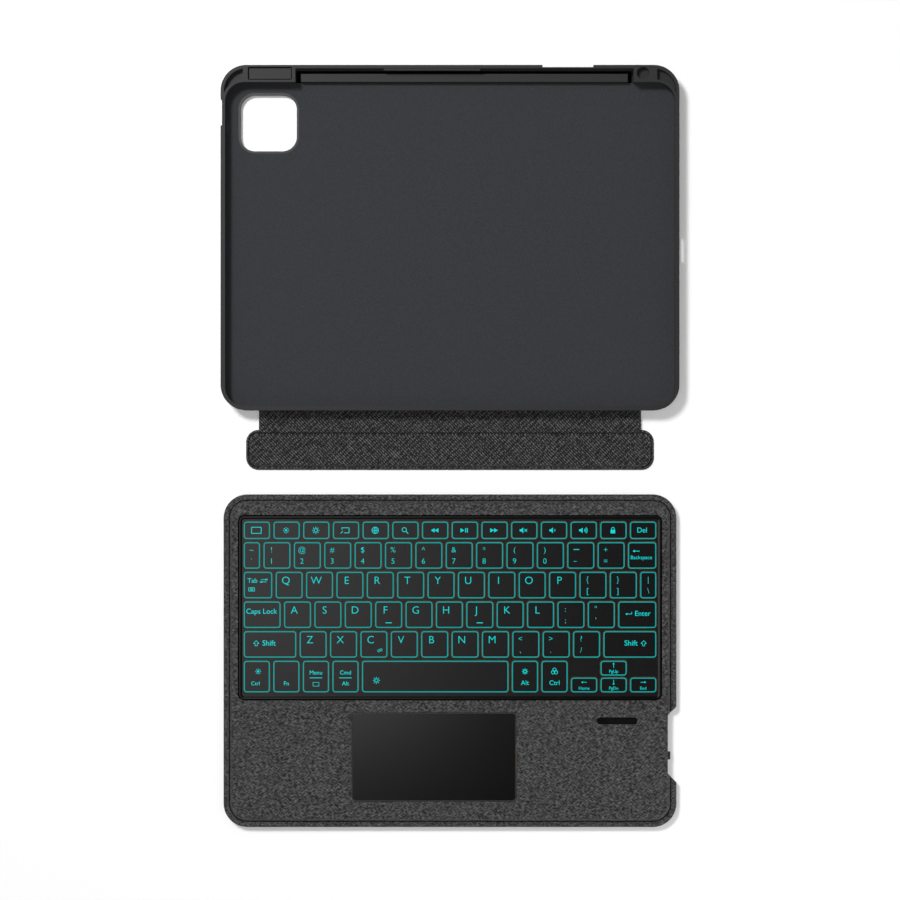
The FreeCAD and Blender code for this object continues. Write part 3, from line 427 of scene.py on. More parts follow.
# %% [markdown]
# The docking bar wears the darker twill, with a narrow rim, a pressed groove and a raised block.  A
# slot at its rear takes the strip, and the raised block reaches a little way over it.
# %% Bar skin
BAR_CORNER = 6.8 * MM
BAR_GROOVE_OUTER = 1.35 * MM
BAR_GROOVE_INNER = 1.65 * MM
BLOCK_EDGE = 2.8 * MM
SLOT_SIDE_PLAY = 0.02 * MM
SLOT_END_PLAY = 0.25 * MM
SLOT_HEADROOM = 0.12 * MM
CUT_CORNER = 0.3 * MM
bar_mid, bar_half, bar_low, bar_high = middle_and_half("bar_top_skin")
bar_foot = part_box("bar_bottom_skin")[0][2]
bar_rim = bar_low[2] + 0.75 * MM
bar_groove = bar_low[2] + 0.15 * MM
bar_top = bar_high[2] + 0.05 * MM
bar_profile = [(0.2 * MM, bar_foot), (0.0, bar_foot + 0.2 * MM), (0.12 * MM, bar_foot + 0.4 * MM),
               (0.75 * MM, bar_rim - 0.05 * MM), (0.95 * MM, bar_rim), (1.15 * MM, bar_rim - 0.1 * MM),
               (BAR_GROOVE_OUTER, bar_groove), (BAR_GROOVE_INNER, bar_groove)]
bar_profile += ease((BAR_GROOVE_INNER, bar_groove), (BLOCK_EDGE, bar_top), EASE_STEPS)
bar_mesh = loft("bar_cloth", bar_mid, bar_half[0], bar_half[1], BAR_CORNER, bar_profile)
bar_cloth = new_piece("bar_cloth", bar_mesh, strip_cloth)
strip_mid, strip_half, strip_low, strip_high = middle_and_half("hinge_strip")
strip_slot = loft("slot", (strip_mid[0], bar_high[1]), strip_half[0] + SLOT_SIDE_PLAY,
                  bar_high[1] - strip_low[1] + SLOT_END_PLAY, CUT_CORNER,
                  [(0.0, CUT_RANGE[0]), (0.0, strip_high[2] + SLOT_HEADROOM)])
carve(bar_cloth, [strip_slot])
lay_flat(bar_cloth)
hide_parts("bar_top_skin", "bar_bottom_skin", "bar_core", "bar_magnets")
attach(bar_cloth, "dock_bar")
print("bar faces", len(bar_cloth.data.polygons))

# %% [markdown]
# The hinge strip is one laminated web that bends at two creases.  It is made as two halves that meet
# in the strip's middle: one spans the crease between the bar and the strip, the other the crease between
# strip and shell.  Both are closed bands, finely divided along the bend.  Each half is cut 10 mm
# long: about 3 mm of it is taken as glued out of sight and isn't modelled.
# %% Hinge strip
BAND_ROWS = 40
BAND_COLUMNS = 60
WEB_LOW = strip_low[2] + 0.1 * MM
WEB_HIGH = strip_high[2] - 0.05 * MM
BAR_BITE = 0.2 * MM
SHELL_BITE = 0.9 * MM
SEAM_DEPTH = 0.6 * MM
SEAM_HALF = 0.32 * MM
crease_bar = strip_low[1] + strip_half[2]
crease_shell = strip_high[1] - strip_half[2]
strip_middle = (crease_bar + crease_shell) / 2
seam_y = bar_high[1] - 1.75 * MM
web_width = strip_high[0] - strip_low[0]


def band(name, start_y, end_y):
    """A closed web between two Y positions, over the strip's width, with the bar's seam pressed in."""
    bm = bmesh.new()
    grid = {}
    for level, height in enumerate((WEB_LOW, WEB_HIGH)):
        for row in range(BAND_ROWS + 1):
            y = start_y + (end_y - start_y) * row / BAND_ROWS
            for column in range(BAND_COLUMNS + 1):
                x = strip_low[0] + web_width * column / BAND_COLUMNS
                press = level * SEAM_DEPTH * math.exp(-((y - seam_y) / SEAM_HALF) ** 2)
                grid[level, row, column] = bm.verts.new((x, y, height - press))
    corners = ((0, 0), (0, 1), (1, 1), (1, 0))
    for level in (0, 1):
        for row in range(BAND_ROWS):
            for column in range(BAND_COLUMNS):
                bm.faces.new([grid[level, row + dr, column + dc] for dr, dc in corners])
    rim = [(0, c) for c in range(BAND_COLUMNS)]
    rim += [(r, BAND_COLUMNS) for r in range(BAND_ROWS)]
    rim += [(BAND_ROWS, c) for c in range(BAND_COLUMNS, 0, -1)]
    rim += [(r, 0) for r in range(BAND_ROWS, 0, -1)]
    for one, two in zip(rim, rim[1:] + rim[:1]):
        bm.faces.new([grid[0, *one], grid[0, *two], grid[1, *two], grid[1, *one]])
    bmesh.ops.recalc_face_normals(bm, faces=bm.faces)
    return mesh_from(name, bm)


bar_band = band("strip_bar_half", crease_bar - BAR_BITE, strip_middle)
shell_band = band("strip_shell_half", strip_middle, crease_shell + SHELL_BITE)
bar_web = new_piece("strip_bar_half", bar_band, strip_cloth)
shell_web = new_piece("strip_shell_half", shell_band, strip_cloth)
lay_flat(bar_web)
lay_flat(shell_web)
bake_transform(bar_web)
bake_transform(shell_web)
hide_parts("hinge_strip")
print("strip from", round(crease_bar / MM, 2), "to", round(crease_shell / MM, 2), "mm")

# %% [markdown]
# Moulded trim too fine for the frame: the gloss bead round the key bezel, the thin lip round the
# touchpad and the stylus catch.  Painted shade as black pieces: a gap round the key bezel, a strip on
# the floor of the stylus channel and a line in the groove of the corner block.  Thin dark strips of
# painted shade also lie in the pressed grooves of the fabric and along the seam, so that these read.
# %% Trim helpers
black_gloss = mottled("gloss_black_bead", "#030304", "#050506", 0.22, 4.0, 0.01)
# Painted shade: matte black without gloss, for the bezel's gap, the block's groove and the channel
# floor.
shade_black = mottled("painted_shade_black", "#020202", "#050505", 0.95, 0.6, 0.1,
                     Specular_IOR_Level=0.0)
# Painted shade: near-black cloth for the dark lines in the fabric's grooves and along the seam.
groove_shade_paint = mottled("pressed_fabric_line", "#060607", "#0c0c0d", 0.95, 0.5, 0.1,
                        Specular_IOR_Level=0.0)
SHADE_LINE_DEPTH = 0.1 * MM


def ring(name, centre, half_x, half_y, radius, profile, finish, slot, body):
    """A closed rounded ring; profile lists (inset, height) once round its section."""
    bm = bmesh.new()
    loops = []
    for inset, height in profile:
        outline = rounded_outline(centre, half_x - inset, half_y - inset, max(radius - inset, 0.3 * MM))
        loops.append([bm.verts.new((x, y, height)) for x, y in outline])
    for one, two in zip(loops, loops[1:] + loops[:1]):
        for i in range(len(one)):
            j = (i + 1) % len(one)
            bm.faces.new((one[i], one[j], two[j], two[i]))
    bmesh.ops.recalc_face_normals(bm, faces=bm.faces)
    return new_piece(name, mesh_from(name, bm), finish, body)


def tile(name, low, high, finish, slot, body):
    """A plain closed box between two corners given in millimetres."""
    bm = bmesh.new()
    bmesh.ops.create_cube(bm, size=1.0)
    for vert in bm.verts:
        vert.co = [(a if c < 0 else b) * MM for c, a, b in zip(vert.co, low, high)]
    return new_piece(name, mesh_from(name, bm), finish, body)


def section(points_mm, height):
    """A ring's section from (inset, rise) pairs in millimetres, the rise counted from a height."""
    return [(inset * MM, height + rise * MM) for inset, rise in points_mm]


def painted_shade_line(name, mid, half, radius, inset, width, height, body):
    """A thin dark strip laid in a groove of the fabric, as painted shade."""
    low = height - SHADE_LINE_DEPTH
    outer = inset + width
    path = [(inset, low), (inset, height), (outer, height), (outer, low)]
    return ring(name, mid, half[0], half[1], radius, path, groove_shade_paint, "fabric", body)


print("trim finishes", black_gloss.name, shade_black.name, groove_shade_paint.name)

# %% Moulded trim and painted shade
SHADOW_GAP_SECTION = ((0.0, -0.2), (0.0, 0.06), (0.75, 0.06), (0.75, -0.2))
BEAD_SECTION = ((0.7, -0.2), (0.7, 0.1), (0.95, 0.28), (1.3, 0.28), (2.3, 0.03), (2.3, -0.2))
LIP_SECTION = ((0.0, -0.2), (0.0, -0.02), (0.2, 0.06), (0.45, 0.02), (0.45, -0.2))
LIP_MARGIN = 0.02 * MM
LIP_CORNER = 2.2 * MM
CHANNEL_SHADE_CORNERS = ((-85.2, 200.75, 2.2), (100.3, 207.2, 2.26))
CATCH_CORNERS = ((-36.3, 206.4, 7.4), (16.5, 207.4, 8.55))
BLOCK_SHADE_SECTION = ((0.0, -0.1), (0.0, 0.01), (0.4, 0.01), (0.4, -0.1))
BLOCK_MID = (-98.75 * MM, 204.8 * MM)
BLOCK_HALF = (12.05 * MM, 3.5 * MM)
BLOCK_CORNER = 0.8 * MM
bezel_top = bezel_high[2]
shell_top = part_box("bumper_frame")[1][2]
# Painted shadow: a matte black ring in the gap round the key bezel.
ring("bezel_shadow_gap", island_mid, *island_half, ISLAND_CORNER, section(SHADOW_GAP_SECTION, bezel_top),
     shade_black, "gloss_bezel", "keyboard_base")
ring("bezel_bead", island_mid, *island_half, ISLAND_CORNER, section(BEAD_SECTION, bezel_top),
     black_gloss, "gloss_bezel", "keyboard_base")
ring("touchpad_lip", pad_mid, pad_half[0] + LIP_MARGIN, pad_half[1] + LIP_MARGIN, LIP_CORNER,
     section(LIP_SECTION, pad_high[2]), finishes["hard_plastic"], "pad_glass", "touchpad")
# Painted shade: a black strip darkens the floor of the stylus channel.
tile("channel_shade_strip", *CHANNEL_SHADE_CORNERS, shade_black, "microfibre", "tablet_shell")
tile("stylus_catch", *CATCH_CORNERS, finishes["soft_bumper"], "soft_bumper", "tablet_shell")
# Painted shade: a black ring in the groove of the corner block.
ring("block_groove_shade", BLOCK_MID, *BLOCK_HALF, BLOCK_CORNER, section(BLOCK_SHADE_SECTION, shell_top),
     shade_black, "soft_bumper", "tablet_shell")
print("bezel top", round(bezel_top / MM, 2), "shell top", round(shell_top / MM, 2), "mm")

# %% [markdown]
# The dark lines in the fabric's grooves and along the seam are painted shade.  The bar's line stops
# at the strip's slot, and none lies along the straight front of the bar.
# %% Painted shade lines in the fabric
DECK_SHADE_LINE = {"inset": 2.85 * MM, "width": 0.75 * MM, "height": groove + 0.22 * MM}
BAR_SHADE_LINE = {"inset": 1.3 * MM, "width": 0.4 * MM, "height": bar_groove + 0.08 * MM}
FRONT_CUT_HALF = 2.4 * MM
SEAM_SHADE_REACH = 105.4
SEAM_SHADE_HALF = 0.22
SEAM_SHADE_LEVELS = (0.6, 0.75)
# Painted shade: dark lines in the grooves of the deck and the bar.
deck_shade_line = painted_shade_line("deck_groove_line", deck_mid, deck_half, DECK_CORNER, body="keyboard_base",
                         **DECK_SHADE_LINE)
carve(deck_shade_line, [notch_cutter()])
bar_shade_line = painted_shade_line("bar_groove_line", bar_mid, bar_half, BAR_CORNER, body="dock_bar", **BAR_SHADE_LINE)
front_cut = loft("front_cut", (bar_mid[0], bar_low[1]), bar_half[0] - BAR_CORNER, FRONT_CUT_HALF,
                 CUT_CORNER, [(0.0, height) for height in CUT_RANGE])
carve(bar_shade_line, [strip_slot, front_cut])
seam_mm = seam_y / MM
# Painted shade: a dark line along the strip's seam.
tile("strip_seam_shade", (-SEAM_SHADE_REACH, seam_mm - SEAM_SHADE_HALF, SEAM_SHADE_LEVELS[0]),
     (SEAM_SHADE_REACH, seam_mm + SEAM_SHADE_HALF, SEAM_SHADE_LEVELS[1]), groove_shade_paint, "fabric",
     "fabric_hinge")
print("seam at", round(seam_mm, 2), "mm")

# %% [markdown]
# The places and sizes of the keys are read back from the frame.  A node can hold many keys, so its mesh
# is split into its separate solids, and the box of each is kept.
# %% Keys, read back from the frame
WELD = 0.001 * MM
KEY_NODES = ["function_keys", "number_keys", "backspace_key", "tab_key", "top_letter_keys", "caps_key",
             "home_letter_keys", "enter_key", "left_shift_key", "bottom_letter_keys", "right_shift_key",
             "left_modifier_keys", "space_bar", "right_modifier_keys", "arrow_keys"]


def solid_boxes(node):
    """The box of each separate solid in a node, sorted from left to right, then from front to back."""
    bm = bmesh.new()
    bm.from_mesh(nodes[node].data)
    bmesh.ops.remove_doubles(bm, verts=bm.verts, dist=WELD)
    boxes = []
    waiting = set(bm.verts)
    while waiting:
        front = [waiting.pop()]
        found = []
        while front:
            vert = front.pop()
            found.append(vert.co.copy())
            for edge in vert.link_edges:
                other = edge.other_vert(vert)
                if other in waiting:
                    waiting.remove(other)
                    front.append(other)
        low = Vector([min(co[i] for co in found) for i in range(3)])
        high = Vector([max(co[i] for co in found) for i in range(3)])
        boxes.append((low, high))
    bm.free()
    return sorted(boxes, key=lambda box: (round(box[0].x, 4), box[0].y))


key_boxes = {name: solid_boxes(name) for name in KEY_NODES}
print("keys", sum(len(boxes) for boxes in key_boxes.values()))


def under(place, boxes):
    """Whether a place lies below one of the keys."""
    return any(low.x < place.x < high.x and low.y < place.y < high.y for low, high in boxes)


for name, boxes in key_boxes.items():
    bm = bmesh.new()
    bm.from_mesh(nodes["rubber_domes"].data)
    bmesh.ops.remove_doubles(bm, verts=bm.verts, dist=WELD)
    others = [face for face in bm.faces if not under(face.calc_center_median(), boxes)]
    bmesh.ops.delete(bm, geom=others, context="FACES")
    domes = new_piece(name + "_domes", mesh_from(name + "_domes", bm), finishes["grip_rubber"],
                      "keyboard_base")
    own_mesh(domes)
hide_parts("rubber_domes")

# %% [markdown]
# The clear lines and letters in the black caps are lit from below, so their paint gives light and
# hardly reflects any.
# %% Lit outline and lettering finishes
LED_PATCH_MM = 40.0
DIM_SHARE = 0.85


def lit(name, code, strength):
    """Translucent paint lit from below: its own tone, with a soft unevenness from the LEDs."""
    made, tree, shader = new_material(name, code, 0.6, Specular_IOR_Level=0.0)
    where = add(tree, "ShaderNodeTexCoord")
    noise = add(tree, "ShaderNodeTexNoise", [("Vector", where.outputs["Object"])],
                in_Scale=per_mm(LED_PATCH_MM))
    ramp = add(tree, "ShaderNodeValToRGB", [("Fac", noise.outputs["Fac"])])
    dim = [channel * DIM_SHARE for channel in srgb(code)[:3]]
    ramp.color_ramp.elements[0].color = (*dim, 1.0)
    ramp.color_ramp.elements[1].color = srgb(code)
    tree.links.new(ramp.outputs["Color"], shader.inputs["Emission Color"])
    shader.inputs["Emission Strength"].default_value = strength
    shader.inputs["Base Color"].default_value = srgb("#020808")
    return made


outline_light = lit("backlit_outline_paint", "#14aaa8", 1.0)
legend_light = lit("backlit_legend_paint", "#10e6e4", 1.0)
print("lit paints", outline_light.name, legend_light.name)

# %% [markdown]
# Each key shows a thin lit outline just inside its edge.  A node tree makes them all: one plain quad
# per key becomes a closed curve, its corners are filleted, and a flat profile is swept along it.
# %% Outline node tree
FILLET_STEPS = 6


def outline_tree():
    """The node tree that turns plain quads into thin lit outlines."""
    tree = bpy.data.node_groups.new("lit_key_outline", "GeometryNodeTree")
    face = tree.interface
    face.new_socket("Geometry", in_out="INPUT", socket_type="NodeSocketGeometry")
    for label in ("Corner radius", "Line width", "Line height"):
        face.new_socket(label, in_out="INPUT", socket_type="NodeSocketFloat")
    face.new_socket("Paint", in_out="INPUT", socket_type="NodeSocketMaterial")
    face.new_socket("Geometry", in_out="OUTPUT", socket_type="NodeSocketGeometry")
    source = tree.nodes.new("NodeGroupInput")
    target = tree.nodes.new("NodeGroupOutput")
    curve = add(tree, "GeometryNodeMeshToCurve", [("Mesh", source.outputs["Geometry"])])
    fillet = add(tree, "GeometryNodeFilletCurve",
                 [("Curve", curve.outputs["Curve"]), ("Radius", source.outputs["Corner radius"])])
    if "Mode" in fillet.inputs:
        fillet.inputs["Mode"].default_value = "Poly"
    else:
        fillet.mode = "POLY"
    fillet.inputs["Count"].default_value = FILLET_STEPS
    stroke = add(tree, "GeometryNodeCurvePrimitiveQuadrilateral",
                 [("Width", source.outputs["Line width"]), ("Height", source.outputs["Line height"])])
    sweep = add(tree, "GeometryNodeCurveToMesh",
                [("Curve", fillet.outputs["Curve"]), ("Profile Curve", stroke.outputs["Curve"])])
    real = add(tree, "GeometryNodeRealizeInstances", [("Geometry", sweep.outputs["Mesh"])])
    paint = add(tree, "GeometryNodeSetMaterial",
                [("Geometry", real.outputs["Geometry"]), ("Material", source.outputs["Paint"])])
    tree.links.new(paint.outputs["Geometry"], target.inputs["Geometry"])
    return tree


OUTLINE = {"Corner radius": 1.35 * MM, "Line width": 0.58 * MM, "Line height": 0.06 * MM,
           "Paint": outline_light}
OUTLINE_INSET = 0.42 * MM
OUTLINE_RISE = 0.02 * MM
tree = outline_tree()
sockets = {item.name: item.identifier for item in tree.interface.items_tree if item.in_out == "INPUT"}
print("outline sockets", len(sockets))

# %% Outlines of the keys


def outline_quads(name, boxes):
    """One flat quad per key, a little inside its edge and just above its top."""
    bm = bmesh.new()
    for low, high in boxes:
        left, right = low.x + OUTLINE_INSET, high.x - OUTLINE_INSET
        near, far = low.y + OUTLINE_INSET, high.y - OUTLINE_INSET
        corners = ((left, near), (right, near), (right, far), (left, far))
        bm.faces.new([bm.verts.new((x, y, high.z + OUTLINE_RISE)) for x, y in corners])
    return mesh_from(name, bm)


for name, boxes in key_boxes.items():
    glow = new_piece("outline_" + name, outline_quads("outline_" + name, boxes), outline_light)
    maker = glow.modifiers.new("outline", "NODES")
    maker.node_group = tree
    for label, value in OUTLINE.items():
        maker[sockets[label]] = value
    apply_modifiers(glow)
    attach(glow, name)
print("outlines", len(key_boxes))

# %% [markdown]
# The lettering is printed clear in the black caps and lit from below.  Words and letters come from
# Blender's own font.  The signs are drawn from a few strokes and filled shapes in a small square.
# %% Lettering helpers
INK_THICK = 0.02 * MM
INK_RISE = 0.03 * MM
STROKE = 0.13
THINNER = 0.012
THICK_BELOW = 4.25


def word_mesh(text, height_mm):
    """Flat lettering about the origin; height is the font size."""
    curve = bpy.data.curves.new("word", "FONT")
    curve.body = text
    curve.size = height_mm * MM
    curve.extrude = INK_THICK / 2
    curve.align_x = "CENTER"
    curve.align_y = "CENTER"
    curve.resolution_u = 4
    if height_mm > THICK_BELOW:
        curve.offset = -THINNER * height_mm * MM
    holder = bpy.data.objects.new("word", curve)
    scene.collection.objects.link(holder)
    graph = bpy.context.evaluated_depsgraph_get()
    mesh = bpy.data.meshes.new_from_object(holder.evaluated_get(graph))
    bpy.data.objects.remove(holder)
    return mesh


def prism(bm, outline):
    """A thin closed tile from a flat outline."""
    low = [bm.verts.new((x, y, -INK_THICK / 2)) for x, y in outline]
    high = [bm.verts.new((x, y, INK_THICK / 2)) for x, y in outline]
    bm.faces.new(list(reversed(low)))
    bm.faces.new(high)
    for i in range(len(outline)):
        j = (i + 1) % len(outline)
        bm.faces.new((low[i], low[j], high[j], high[i]))


def stroke(bm, points, width=STROKE):
    """Straight tiles of one width along a line of points."""
    for (x0, y0), (x1, y1) in zip(points, points[1:]):
        length = math.hypot(x1 - x0, y1 - y0)
        ox = -(y1 - y0) / length * width / 2
        oy = (x1 - x0) / length * width / 2
        prism(bm, [(x0 - ox, y0 - oy), (x1 - ox, y1 - oy), (x1 + ox, y1 + oy), (x0 + ox, y0 + oy)])


def arc(radius, start, end, steps=14, centre=(0, 0)):
    """Points of an arc between two angles in degrees."""
    turns = [math.radians(start + (end - start) * i / steps) for i in range(steps + 1)]
    return [(centre[0] + radius * math.cos(t), centre[1] + radius * math.sin(t)) for t in turns]


def rays(bm, inner, outer):
    """Eight short rays all round."""
    for i in range(8):
        turn = math.pi / 4 * i
        ends = [(reach * math.cos(turn), reach * math.sin(turn)) for reach in (inner, outer)]
        stroke(bm, ends)


def speaker(bm, waves):
    """A speaker with that many sound waves at its right."""
    prism(bm, [(-0.8, -0.2), (-0.5, -0.2), (-0.1, -0.55), (-0.1, 0.55), (-0.5, 0.2), (-0.8, 0.2)])
    for wave in range(waves):
        stroke(bm, arc(0.3 + 0.25 * wave, -45, 45))


def arrow(bm, turn):
    """A straight arrow turned by quarter turns from pointing left."""
    def at(x, y):
        return (x * math.cos(turn) - y * math.sin(turn), x * math.sin(turn) + y * math.cos(turn))
    stroke(bm, [at(-0.5, 0), at(0.8, 0)], 0.16)
    prism(bm, [at(-0.95, 0), at(-0.4, -0.34), at(-0.4, 0.34)])


def sign(name):
    """One of the simple signs, in a square from -1 to 1."""
    bm = bmesh.new()
    if name == "screen":
        stroke(bm, [(-0.95, -0.6), (0.95, -0.6), (0.95, 0.6), (-0.95, 0.6), (-0.95, -0.6)])
    elif name in ("dim", "bright"):
        core = 0.22 if name == "dim" else 0.34
        if name == "dim":
            prism(bm, arc(core, 0, 345))
        else:
            stroke(bm, arc(core, 0, 360))
        rays(bm, core + 0.15, core + 0.38)
    elif name == "grab":
        stroke(bm, [(-0.7, 0.15), (-0.7, 0.5), (0.7, 0.5), (0.7, -0.5), (-0.3, -0.5)])
        stroke(bm, [(-0.95, -0.6), (-0.5, -0.15)])
    elif name == "globe":
        stroke(bm, arc(0.62, 0, 360, 24))
        stroke(bm, [(-0.62, 0), (0.62, 0)])
        stroke(bm, [(0.3 * x, y) for x, y in arc(0.62, 0, 360, 24)])
    elif name == "find":
        stroke(bm, arc(0.42, 0, 360, 20, (-0.12, 0.12)))
        stroke(bm, [(0.2, -0.2), (0.65, -0.65)], 0.15)
    elif name in ("back", "forward"):
        way = -1 if name == "back" else 1
        for start in (-0.75, 0.0):
            base = way * start
            tip = way * (start + 0.75)
            prism(bm, [(base, way * 0.42), (base, way * -0.42), (tip, 0)])
    elif name == "play":
        prism(bm, [(-0.75, 0.42), (-0.75, -0.42), (0.0, 0)])
        stroke(bm, [(0.25, -0.42), (0.25, 0.42)], 0.18)
        stroke(bm, [(0.6, -0.42), (0.6, 0.42)], 0.18)
    elif name == "mute":
        speaker(bm, 0)
        stroke(bm, [(0.15, -0.25), (0.65, 0.25)])
        stroke(bm, [(0.15, 0.25), (0.65, -0.25)])
    elif name in ("quiet", "loud"):
        speaker(bm, 1 if name == "quiet" else 3)
    elif name == "lock":
        prism(bm, [(-0.45, -0.6), (0.45, -0.6), (0.45, 0.1), (-0.45, 0.1)])
        stroke(bm, [(-0.28, 0.1), *reversed(arc(0.28, 0, 180, 10, (0, 0.3))), (0.28, 0.1)])
    elif name == "shift":
        stroke(bm, [(-0.3, -0.7), (-0.3, -0.05), (-0.75, -0.05), (0, 0.75), (0.75, -0.05), (0.3, -0.05),
                    (0.3, -0.7), (-0.3, -0.7)])
    elif name == "tab":
        for height, way in ((0.3, 1), (-0.3, -1)):
            stroke(bm, [(-0.7, height), (0.7, height)])
            stroke(bm, [(way * 0.4, height + 0.2), (way * 0.75, height), (way * 0.4, height - 0.2)])
            stroke(bm, [(way * 0.9, height - 0.25), (way * 0.9, height + 0.25)])
    elif name == "return":
        stroke(bm, [(0.8, 0.5), (0.8, -0.1), (-0.5, -0.1)], 0.14)
        prism(bm, [(-0.95, -0.1), (-0.4, -0.4), (-0.4, 0.2)])
    elif name == "gear":
        stroke(bm, arc(0.36, 0, 360), 0.2)
        rays(bm, 0.4, 0.7)
    elif name == "colours":
        for turn in (90, 210, 330):
            stroke(bm, arc(0.36, 0, 360, 14, arc(0.36, turn, turn, 1)[0]))
    elif name == "bar":
        stroke(bm, [(-0.9, 0), (0.9, 0)], 0.24)
    elif name == "line":
        stroke(bm, [(-1.0, 0), (1.0, 0)], 0.1)
    elif name == "board":
        stroke(bm, [(-0.9, -0.5), (0.9, -0.5), (0.9, 0.5), (-0.9, 0.5), (-0.9, -0.5)], 0.16)
        stroke(bm, [(-0.55, 0.12), (0.55, 0.12)], 0.2)
        stroke(bm, [(-0.35, -0.2), (0.35, -0.2)], 0.2)
    elif name == "link":
        stroke(bm, arc(0.32, 0, 360, 14, (-0.3, -0.12)))
        stroke(bm, arc(0.32, 0, 360, 14, (0.3, 0.12)))
    else:
        arrow(bm, {"left": 0, "down": math.pi / 2, "right": math.pi, "up": -math.pi / 2}[name])
    return mesh_from("sign_" + name, bm)


print("ink", INK_THICK / MM, "mm thick")

# %% [markdown]
# Each key's print is a list of marks: a word or a sign, its size in millimetres, and where it sits on
# the key as shares of the key's width and height from the front left corner.
# %% Legends
SIGN = "sign:"
LETTER_MM = 5.9
PAIR_MM = 4.3
WORD_MM = 3.6
SIGN_MM = 2.8


def letter(text):
    return [(text, LETTER_MM, 0.38, 0.66)]


def pair(upper, lower, across=0.3):
    return [(upper, PAIR_MM, across, 0.70), (lower, PAIR_MM, across, 0.28)]


def plain_sign(name):
    return [(SIGN + name, SIGN_MM, 0.48, 0.5)]


def page_key(way, word):
    return [(SIGN + way, 1.7, 0.5, 0.68), (word, 2.4, 0.5, 0.28)]


bar_mark = (SIGN + "bar", 1.9, 0.5, 0.2)
link_mark = (SIGN + "link", 2.0, 0.72, 0.28)
rule_mark = (SIGN + "line", 3.4, 0.5, 0.46)
function_signs = ("screen", "dim", "bright", "grab", "globe", "find", "back", "play", "forward", "mute",
                  "quiet", "loud", "lock")
number_pairs = ("!1", "@2", "#3", "$4", "%5", "^6", "&7", "*8", "(9", ")0")
dash_pair = [(SIGN + "bar", 1.7, 0.34, 0.72), (SIGN + "bar", 0.9, 0.3, 0.28)]
legends = {
    "function_keys": [plain_sign(name) for name in function_signs] + [[("Del", 4.0, 0.46, 0.5)]],
    "number_keys": [pair("~", "`", 0.48)] + [pair(*marks) for marks in number_pairs]
                   + [dash_pair, pair("+", "=")],
    "backspace_key": [[(SIGN + "left", 2.2, 0.3, 0.66), ("Backspace", 2.9, 0.47, 0.42)]],
    "tab_key": [[("Tab", WORD_MM, 0.31, 0.66), (SIGN + "tab", 2.1, 0.70, 0.66),
                 (SIGN + "board", 1.8, 0.28, 0.34)]],
    "top_letter_keys": [letter(c) for c in "QWERTYUIOP"] + [pair(*marks) for marks in ("{[", "}]")]
                       + [pair("|", "\\", 0.5)],
    "caps_key": [[("Caps Lock", 4.0, 0.48, 0.62)]],
    "home_letter_keys": [letter(c) + ([bar_mark] if c in "FJ" else []) for c in "ASDFGHJKL"]
                        + [pair(*marks) for marks in (":;", "\"'")],
    "enter_key": [[(SIGN + "return", 2.0, 0.28, 0.54), ("Enter", 4.0, 0.64, 0.54)]],
    "left_shift_key": [[(SIGN + "shift", 2.0, 0.24, 0.54), ("Shift", 4.2, 0.48, 0.54)]],
    "bottom_letter_keys": [letter(c) + ([link_mark] if c == "C" else []) for c in "ZXCVBNM"]
                          + [pair(*marks) for marks in ("<,", ">.", "?/")],
    "right_shift_key": [[("Shift", 4.2, 0.52, 0.54), (SIGN + "shift", 2.0, 0.76, 0.54)]],
    "left_modifier_keys": [[(SIGN + "dim", 2.6, 0.55, 0.66), ("Ctrl", 3.0, 0.45, 0.28)],
                           [("Fn", 3.2, 0.5, 0.28)],
                           [("Menu", 3.2, 0.5, 0.62), rule_mark, (SIGN + "screen", 1.7, 0.5, 0.26)],
                           [("Cmd", 3.2, 0.5, 0.62), rule_mark, ("Alt", 3.2, 0.5, 0.28)]],
    "space_bar": [[(SIGN + "bright", 2.7, 0.1, 0.38)]],
    "right_modifier_keys": [[(SIGN + "gear", 2.4, 0.5, 0.66), ("Alt", WORD_MM, 0.5, 0.3)],
                            [(SIGN + "colours", 2.6, 0.5, 0.66), ("Ctrl", WORD_MM, 0.5, 0.3)]],
    "arrow_keys": [page_key("left", "Home"), page_key("down", "PgDn"), page_key("up", "PgUp"),
                   page_key("right", "End")],
}
print("keys with print", sum(len(marks) for marks in legends.values()))

# %% [markdown]
# The marks are then laid on the keys.  Each node's marks make one piece, which rides that node's body.
# %% Lettering on the keys
mark_cache = {}


def mark_mesh(text, size_mm):
    """A word or a sign at its size about the origin, made once and reused."""
    if (text, size_mm) not in mark_cache:
        if text.startswith(SIGN):
            mesh = sign(text[len(SIGN):])
            mesh.transform(Matrix.Diagonal((size_mm * MM, size_mm * MM, 1.0, 1.0)))
        else:
            mesh = word_mesh(text, size_mm)
        mark_cache[text, size_mm] = mesh
    return mark_cache[text, size_mm]


for name, boxes in key_boxes.items():
    bm = bmesh.new()
    for (low, high), marks in zip(boxes, legends[name]):
        for text, size_mm, across, up in marks:
            place = Vector((low.x + across * (high.x - low.x), low.y + up * (high.y - low.y),
                            high.z + INK_RISE))
            copy = mark_mesh(text, size_mm).copy()
            copy.transform(Matrix.Translation(place))
            bm.from_mesh(copy)
            bpy.data.meshes.remove(copy)
    bmesh.ops.recalc_face_normals(bm, faces=bm.faces)
    new_piece("legend_" + name, mesh_from("legend_" + name, bm), legend_light, name)
print("different marks", len(mark_cache))

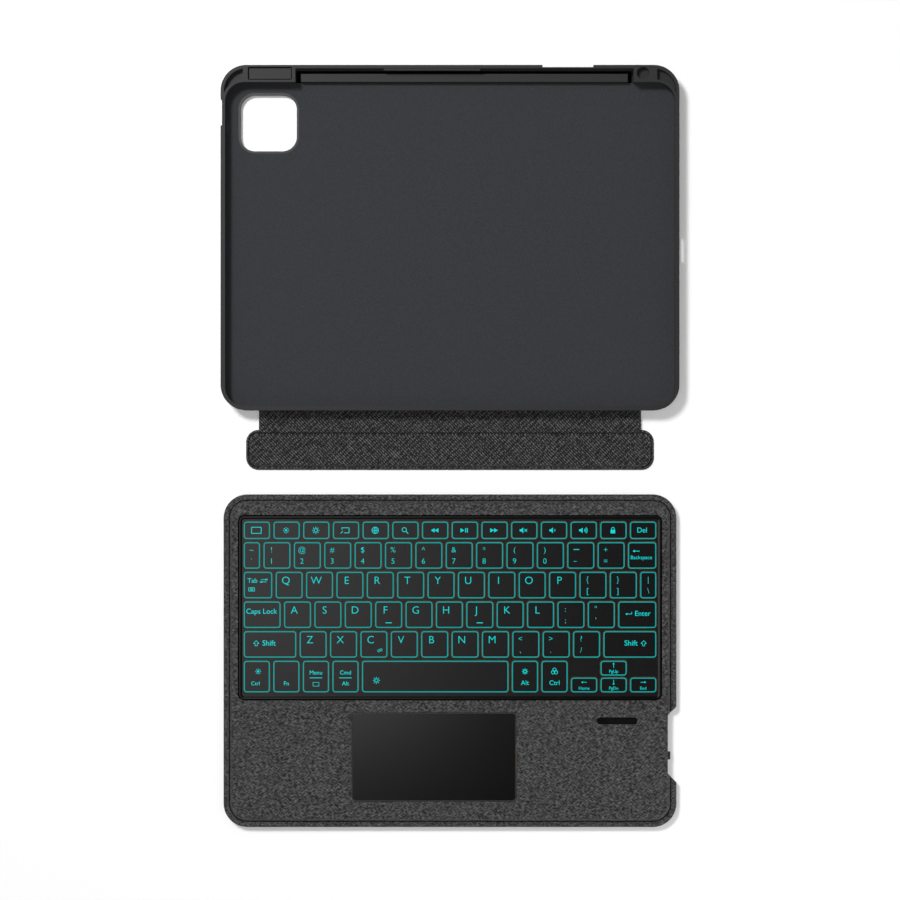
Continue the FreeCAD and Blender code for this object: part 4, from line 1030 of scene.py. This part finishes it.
# %% [markdown]
# A plain pale floor, a little below the part, and the light.  One lamp stands at the upper left, so
# that shadows fall to the right and front.  A broad weak panel is what the satin keys and touchpad
# mirror at the left.  A low fill at the front right casts no shadow and isn't mirrored.  The sky is
# dark overhead.
# %% Floor
FLOOR_SIZE = 4.0
FLOOR_DROP = 0.2 * MM
bm = bmesh.new()
bmesh.ops.create_grid(bm, x_segments=1, y_segments=1, size=FLOOR_SIZE)
floor_finish, _, floor_shader = new_material("pale_floor", "#f7f7f7", 0.9, Specular_IOR_Level=0.0)
floor_shader.inputs["Emission Color"].default_value = srgb("#ffffff")
floor_shader.inputs["Emission Strength"].default_value = 0.02
floor = bpy.data.objects.new("floor", mesh_from("floor", bm))
floor.data.materials.append(floor_finish)
floor.location.z = -FLOOR_DROP
scene.collection.objects.link(floor)
print("floor", round(floor.location.z / MM, 2), "mm")

# %% Lamps and sky
SKY_STRENGTH = 0.36


def lamp(name, place, size, power):
    """A square lamp that looks at the middle of the set."""
    light = bpy.data.lights.new(name, "AREA")
    light.size = size
    light.energy = power
    item = bpy.data.objects.new(name, light)
    item.location = place
    item.rotation_euler = (-Vector(place)).to_track_quat("-Z", "Y").to_euler()
    scene.collection.objects.link(item)
    return item


lamp("key_lamp", place=(-0.7, 0.8, 1.25), size=0.35, power=21.0)
fill = lamp("edge_fill", place=(0.9, -0.9, 0.45), size=0.5, power=13.0)
fill.data.use_shadow = False
fill.visible_glossy = False
lamp("top_panel", place=(-0.51, -0.1, 2.2), size=0.9, power=3.5)
world = bpy.data.worlds.new("studio")
scene.world = world
world.use_nodes = True
sky = world.node_tree
toward = add(sky, "ShaderNodeTexCoord")
height = add(sky, "ShaderNodeSeparateXYZ", [("Vector", toward.outputs["Generated"])])
fade = two_tone(sky, height.outputs["Z"], "#ffffff", "#1c1c1c", 0.72, 0.9)
sky.links.new(fade.outputs["Color"], sky.nodes["Background"].inputs["Color"])
sky.nodes["Background"].inputs["Strength"].default_value = SKY_STRENGTH
print("lamps", len(bpy.data.lights))

# %% [markdown]
# The camera looks straight down, as in the photograph: 900 pixels take in 494.5 mm at a height of 6 mm,
# and the set's middle lies 3 pixels above the picture's.
# %% Camera
VIEW_SPAN = 494.5 * MM
SPAN_LEVEL = 6 * MM
PICTURE_SHIFT = 1.65 * MM
CAMERA_HEIGHT = 1.0
camera_data = bpy.data.cameras.new("camera")
camera_data.angle = 2 * math.atan(VIEW_SPAN / 2 / CAMERA_HEIGHT)
camera = bpy.data.objects.new("camera", camera_data)
camera.location = (0, -PICTURE_SHIFT, CAMERA_HEIGHT + SPAN_LEVEL)
scene.collection.objects.link(camera)
scene.camera = camera
print("field of view", round(math.degrees(camera_data.angle), 2), "degrees")
